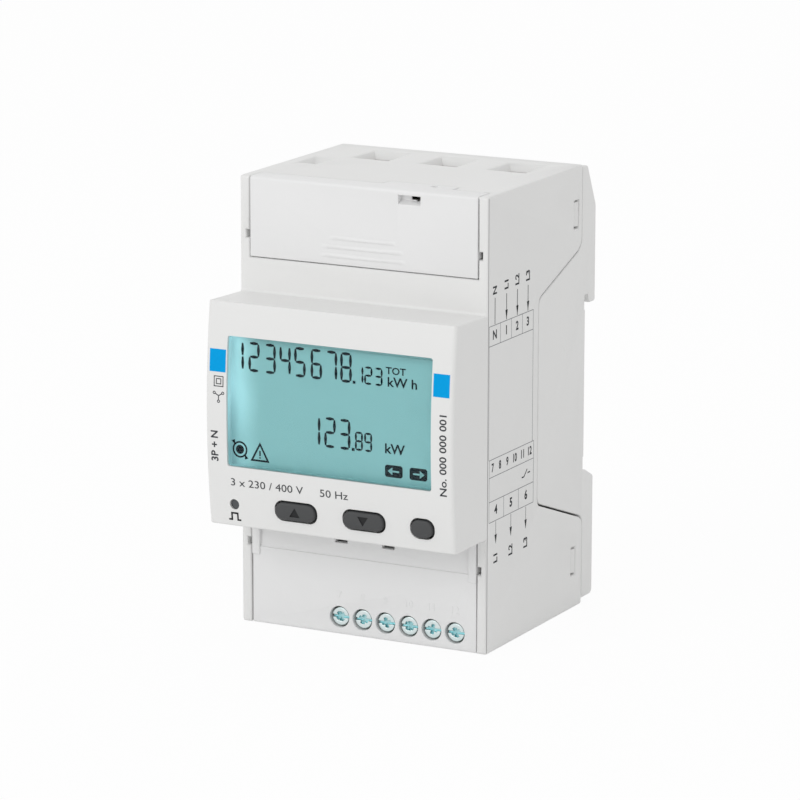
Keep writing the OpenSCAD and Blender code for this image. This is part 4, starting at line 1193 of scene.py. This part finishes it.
@dataclass
class Printing:
    """Marks on the front and on the right side.

    Args:
        side: X of the right side in mm.
        line: width of the side's lines in mm.
        squares: left, lower, right and upper edge of each blue square in mm.
    """

    side: float = 27.0
    line: float = 0.15
    squares: tuple[tuple[float, float, float, float], ...] = (
        (-26.05, 8.75, -22.5, 13.2), (22.6, 8.75, 26.05, 13.2))

    def front(self) -> None:
        """Draws the blue squares and the small grey symbols of the front."""
        blue = Marks(Face.FRONT)
        for corners in self.squares:
            blue.bar(*corners)
        blue.build("blue_squares", BLUE_INK, "meter", "housing")
        grey = Marks(Face.FRONT)
        for half in (0.98, 0.5):
            grey.stroke([(-24.0 - half, 6.9 - half), (-24.0 + half, 6.9 - half),
                         (-24.0 + half, 6.9 + half), (-24.0 - half, 6.9 + half)], 0.17, closed=True)
        for turn in (30, 150, 270):
            way = Vector((math.cos(math.radians(turn)), math.sin(math.radians(turn))))
            start, end = Vector((-24.0, 4.05)), Vector((-24.0, 4.05)) + way * 0.85
            grey.stroke([tuple(start), tuple(end)], 0.19)
            tip = start + way * 1.1
            grey.disc(tip.x, tip.y, 0.32, 0.16, 16)
        grey.words("3 x 230 / 400 V     50 Hz", -8.8, -13.0, 1.5, squeeze=1.2)
        grey.words("3P + N", -24.9, -6.0, 1.5, 90, weight=0.05)
        grey.words("No. 000 000 001", 24.9, -2.4, 1.45, 90, squeeze=1.15, weight=0.03)
        grey.build("front_symbols", GREY_INK, "meter", "housing")
        pulse = Marks(Face.FRONT)
        pulse.stroke([(-22.5, -20.65), (-21.8, -20.65), (-21.8, -19.3), (-20.5, -19.3),
                      (-20.5, -20.65), (-19.8, -20.65)], 0.34)
        pulse.build("pulse_mark", BLACK_INK, "meter", "housing")

    def arrow(self, marks: Marks, u: float, tip: float, way: int) -> None:
        """Adds a small filled arrowhead.

        Args:
            marks: takes the shape.
            u: centre in mm.
            tip: V of its tip in mm.
            way: 1 when it points up, or -1.
        """
        half, length = 0.5, 1.9
        marks.outline([(u - half * way, tip - length * way), (u + half * way, tip - length * way),
                       (u, tip)])

    def diagram(self) -> None:
        """Draws the wiring diagram of the right side."""
        marks = Marks(Face.SIDE, rise=0.006, level=self.side)
        dark = Marks(Face.SIDE, rise=0.008, level=self.side)
        line, bold = self.line, 0.24
        marks.stroke([(-43.2, 19.8), (-24.0, 19.8)], line)
        marks.stroke([(-43.2, 15.9), (-24.0, 15.9)], line)
        for u in (-43.2, -24.0):
            marks.stroke([(u, 19.8), (u, -6.5)], line)
        for u in (-38.4, -33.6, -28.8):
            marks.stroke([(u, 15.9), (u, 19.8)], line)
        for text, u in zip("N123", (-40.8, -35.8, -31.1, -26.4)):
            dark.words(text, u, 17.85, 1.7, weight=0.07)
            dark.stroke([(u, 20.0), (u, 25.1)], bold)
            if text != "N":
                self.arrow(dark, u, 20.0, -1)
        dark.words("N", -40.8, 26.6, 1.6, 90, weight=0.07)
        for i, u in enumerate((-35.8, -31.1, -26.4)):
            dark.words(f"L{i + 1}", u, 27.0, 1.6, 90, weight=0.07)
        rows = (-6.5, -10.0, -14.8, -18.9)
        for v in rows:
            marks.stroke([(-42.9, v), (-23.4, v)], line)
        for u in (-42.9, -23.4):
            marks.stroke([(u, rows[0]), (u, rows[-1])], line)
        for i, u in enumerate((-41.4, -38.2, -35.0, -31.8, -28.3, -25.2)):
            dark.words(str(7 + i), u, -8.25, 1.6, squeeze=0.85, weight=0.07)
        for u in (-36.5, -30.0):
            marks.stroke([(u, rows[2]), (u, rows[3])], line)
        for i, u in enumerate((-39.9, -33.3, -26.7)):
            dark.words(str(4 + i), u, -16.8, 1.7, weight=0.09)
            dark.stroke([(u, rows[3] - 0.2), (u, -22.4)], line)
            self.arrow(dark, u, -23.6, -1)
            dark.words(f"L{i + 1}", u, -26.3, 1.6, 90, weight=0.07)
        dark.stroke([(-28.6, -12.9), (-27.6, -12.9), (-26.2, -11.6)], 0.28)
        dark.stroke([(-26.0, -12.4), (-24.9, -12.4)], 0.28)
        marks.build("side_table", LASER, "meter", "housing")
        dark.build("side_figures", LASER_DARK, "meter", "housing")

    def build(self) -> None:
        """Draws all the marks."""
        self.front()
        self.diagram()


@dataclass
class SignalScrews:
    """Six small slotted cross-recess screws, each turned by another angle.

    Args:
        first: X of the first one in mm.
        pitch: their spacing in mm.
        row: their Z in mm.
        front: Y of their faces in mm.
        head: share of its CAD width that a head keeps, which leaves a dark ring round it.
        arm: reach of a recess's arm in mm.
        half: half the arm's width in mm.
        filmed: faces nearer than this to a screw's axis and below its face are the slot's, in mm.
        turns: angle of each cross in degrees.
    """

    first: float = -5.3
    pitch: float = 5.08
    row: float = -41.5
    front: float = -43.2
    head: float = 0.93
    arm: float = 1.0
    half: float = 0.27
    filmed: float = 1.2
    turns: tuple[float, ...] = (38, 62, 20, 50, 75, 30)

    def recesses(self) -> bpy.types.Object:
        """Makes the tool that cuts the cross recesses.

        Returns:
            The tool.
        """
        arm, half = self.arm, self.half
        cross = [(arm, -half), (arm, half), (half, half), (half, arm), (-half, arm), (-half, half),
                 (-arm, half), (-arm, -half), (-half, -half), (-half, -arm), (half, -arm),
                 (half, -half)]
        tool = Marks(Face.COVER, rise=0.4, sink=0.5, level=self.front)
        for i, turn in enumerate(self.turns):
            cos_t, sin_t = math.cos(math.radians(turn)), math.sin(math.radians(turn))
            x = self.first + self.pitch * i
            tool.outline([(x + u * cos_t - v * sin_t, self.row + u * sin_t + v * cos_t)
                          for u, v in cross])
        return tool.build("recess_tool", RECESS, "meter", "zinc_steel")

    def build(self) -> None:
        """Builds the six screws."""
        shell = Shell("signal_screws", "meter", "zinc_steel", ZINC, 0.14, 3,
                      lambda place: place.y < self.front + 0.05, self.recesses)
        piece = shell.copy()
        pick(piece)
        bpy.ops.object.mode_set(mode="EDIT")
        for i in range(len(self.turns)):
            x = (self.first + self.pitch * i) * MM
            select_edges(piece, lambda edge: all(
                abs(v.co.x - x) < self.pitch / 2 * MM and v.co.y < (self.front + 0.9) * MM
                for v in edge.verts))
            bpy.ops.transform.resize(value=(self.head, 1, self.head),
                                     center_override=(x, 0, self.row * MM))
        bpy.ops.object.mode_set(mode="OBJECT")
        shell.carve(piece)
        shell.round_edges(piece)
        self.film(piece)
        finish_piece(piece, ZINC, "meter")
        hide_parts("signal_screws")

    def film(self, piece: bpy.types.Object) -> None:
        """Gives the slots' floors and walls the finish of the recesses.

        Args:
            piece: the carved screws.
        """
        filmed = [slot.material.name for slot in piece.material_slots].index(RECESS.name)
        for polygon in piece.data.polygons:
            place = polygon.center / MM
            axis = self.first + self.pitch * round((place.x - self.first) / self.pitch)
            if (self.front + 0.1 < place.y < self.front + 1.2
                    and math.hypot(place.x - axis, place.z - self.row) < self.filmed):
                polygon.material_index = filmed


@dataclass
class Works:
    """Terminals, boards and other inner pieces, most of which stay CAD solids and get a finish.

    Args:
        finishes: each finish with the nodes that have it.
        spring_seat: Z of the peg that the clip's spring stands on, in mm; not used.
        spring_keep: share of the spring's length that is left when the clip is pulled out; not used.
    """

    finishes: tuple[tuple[Finish, tuple[str, ...]], ...] = (
        (CRYSTAL, ("display_glass",)),
        (FRAME_WHITE, ("display_frame",)),
        (DIFFUSER, ("backlight",)),
        (CONTACT, ("contact_strips",)),
        (BOARD, ("display_board", "main_board")),
        (ZINC, ("board_screws", "line_screws", "load_screws", "neutral_screw")),
        (BLACK_NYLON, ("up_switch", "down_switch", "enter_switch", "board_header")),
        (LENS, ("pulse_led",)),
        (SMOKED, ("light_pipe",)),
        (POLYESTER, ("current_sensor_1", "current_sensor_2", "current_sensor_3")),
        (COPPER, ("current_bar_1", "current_bar_2", "current_bar_3")),
        (NICKEL, ("line_cage_1", "line_cage_2", "line_cage_3", "load_cage_1", "load_cage_2",
                  "load_cage_3", "neutral_cage", "signal_cages")),
        (BRASS, ("neutral_link",)),
        (SIGNAL, ("signal_block",)),
        (TAPE, ("supply_transformer",)),
        (SLEEVE, ("supply_capacitors",)),
        (DIPPED, ("surge_discs",)),
        (EPOXY, ("metering_chip",)),
    )
    spring_seat: float = -34.2
    spring_keep: float = 0.6

    def spring(self) -> None:
        """Builds the coil spring from a merged copy of its CAD node."""
        spring = Shell("clip_spring", "meter", "spring_steel", SPRING).copy()
        finish_piece(spring, SPRING, "meter", 70)
        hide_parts("clip_spring")
        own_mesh(spring)

    def build(self) -> None:
        """Gives each CAD solid its finish."""
        for finish, nodes in self.finishes:
            for node in nodes:
                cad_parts[node].material_slots[0].material = finish.make()
                LOG.info("%s: %s", node, finish.name)
        Shell("rail_clip", "clip", "clip", ACETAL, 0.15, 2).build()
        self.spring()


@dataclass
class Studio:
    """Pale floor, white surround, soft lamps and the camera.

    Args:
        yaw: the camera's turn to the right of the front, in radians.
        pitch: its height angle in radians.
        roll: its roll in radians.
        distance: from the rail seat in metres.
        aside: how far the camera stands to its own right, in metres.
        above: how far it stands up, in metres.
        lens: focal length in mm on a 36 mm sensor.
        ambient: strength of the surround's light.
    """

    yaw: float = 0.48063
    pitch: float = 0.22283
    roll: float = 0.00162
    distance: float = 0.9019
    aside: float = -0.01305
    above: float = -0.00580
    lens: float = 200.142
    ambient: float = 0.83

    def camera(self) -> None:
        """Adds the camera at the photograph's viewing angle."""
        sin_a, cos_a = math.sin(self.yaw), math.cos(self.yaw)
        sin_e, cos_e = math.sin(self.pitch), math.cos(self.pitch)
        back = Vector((sin_a * cos_e, -cos_a * cos_e, sin_e))
        right = Vector((cos_a, sin_a, 0))
        up = Vector((-sin_a * sin_e, cos_a * sin_e, cos_e))
        place = back * self.distance + right * self.aside + up * self.above
        right_r = math.cos(self.roll) * right + math.sin(self.roll) * up
        up_r = math.cos(self.roll) * up - math.sin(self.roll) * right
        data = bpy.data.cameras.new("camera")
        data.lens = self.lens
        data.sensor_width = 36
        data.clip_start = 0.01
        camera = bpy.data.objects.new("camera", data)
        bpy.context.scene.collection.objects.link(camera)
        turn = Matrix((right_r, up_r, back)).transposed()
        camera.matrix_world = Matrix.Translation(place) @ turn.to_4x4()
        bpy.context.scene.camera = camera

    def lamp(self, name: str, place: tuple[float, float, float], size: float, power: float) -> None:
        """Adds one soft square lamp aimed at the meter.

        Args:
            name: its name.
            place: where it hangs, in metres.
            size: its side in metres.
            power: in watts.
        """
        data = bpy.data.lights.new(name, "AREA")
        data.size = size
        data.energy = power
        lamp = bpy.data.objects.new(name, data)
        lamp.location = place
        aim = Vector((0, -0.05, 0)) - Vector(place)
        lamp.rotation_euler = aim.to_track_quat("-Z", "Y").to_euler()
        bpy.context.scene.collection.objects.link(lamp)

    def seen(self, tree: bpy.types.NodeTree) -> bpy.types.NodeSocket:
        """Is 1 for rays from the camera, glossy rays and rays through clear plastic."""
        path = add_node(tree, "ShaderNodeLightPath")
        both = add_node(tree, "ShaderNodeMath", {"operation": "MAXIMUM"},
                        {0: path.outputs["Is Camera Ray"], 1: path.outputs["Is Glossy Ray"]})
        three = add_node(tree, "ShaderNodeMath", {"operation": "MAXIMUM"},
                         {0: both.outputs["Value"], 1: path.outputs["Is Transmission Ray"]})
        return three.outputs["Value"]

    def surround(self) -> None:
        """Adds the white world."""
        world = bpy.data.worlds.new("white_surround")
        world.use_nodes = True
        tree = world.node_tree
        tree.nodes.clear()
        light = add_node(tree, "ShaderNodeBackground", {"Strength": self.ambient})
        light.inputs["Color"].default_value = (1, 1, 1, 1)
        white = add_node(tree, "ShaderNodeBackground", {"Strength": 1.0})
        white.inputs["Color"].default_value = (1, 1, 1, 1)
        mix = add_node(tree, "ShaderNodeMixShader", links={
            0: self.seen(tree), 1: light.outputs["Background"], 2: white.outputs["Background"]})
        add_node(tree, "ShaderNodeOutputWorld", links={"Surface": mix.outputs["Shader"]})
        bpy.context.scene.world = world

    def floor(self) -> None:
        """Adds the pale floor under the meter; it looks white but keeps a soft shadow."""
        start_clean()
        bpy.ops.mesh.primitive_plane_add(size=4, location=(0, 0, -0.0451))
        floor = settle(bpy.context.object)
        floor.name = "floor"
        material = bpy.data.materials.new("white_paper_floor")
        material.use_nodes = True
        tree = material.node_tree
        tree.nodes.clear()
        paper = add_node(tree, "ShaderNodeBsdfDiffuse", {"Color": linear("F2F2F2")})
        glow = add_node(tree, "ShaderNodeEmission", {"Color": (1, 1, 1, 1), "Strength": 1.0})
        share = add_node(tree, "ShaderNodeMath", {"operation": "MULTIPLY", 1: 0.94},
                         {0: self.seen(tree)})
        mix = add_node(tree, "ShaderNodeMixShader", links={
            0: share.outputs["Value"], 1: paper.outputs["BSDF"], 2: glow.outputs["Emission"]})
        add_node(tree, "ShaderNodeOutputMaterial", links={"Surface": mix.outputs["Shader"]})
        floor.data.materials.append(material)

    def build(self) -> None:
        """Sets the stage, the lamps and the camera."""
        bpy.context.scene.view_settings.view_transform = "Standard"
        self.surround()
        self.floor()
        self.lamp("key_lamp", (-0.4, -1.15, 0.6), 0.7, 3.7)
        self.camera()


def main() -> None:
    """Builds the meter piece by piece and sets the stage."""
    logging.basicConfig(level=logging.INFO, format="%(message)s")
    for builder in (Studio(), Housing(), Covers(), Keypad(), Display(), Printing(), SignalScrews(),
                    Works()):
        LOG.info("building %s", type(builder).__name__)
        builder.build()
    start_clean()


if __name__ == "__main__":
    main()
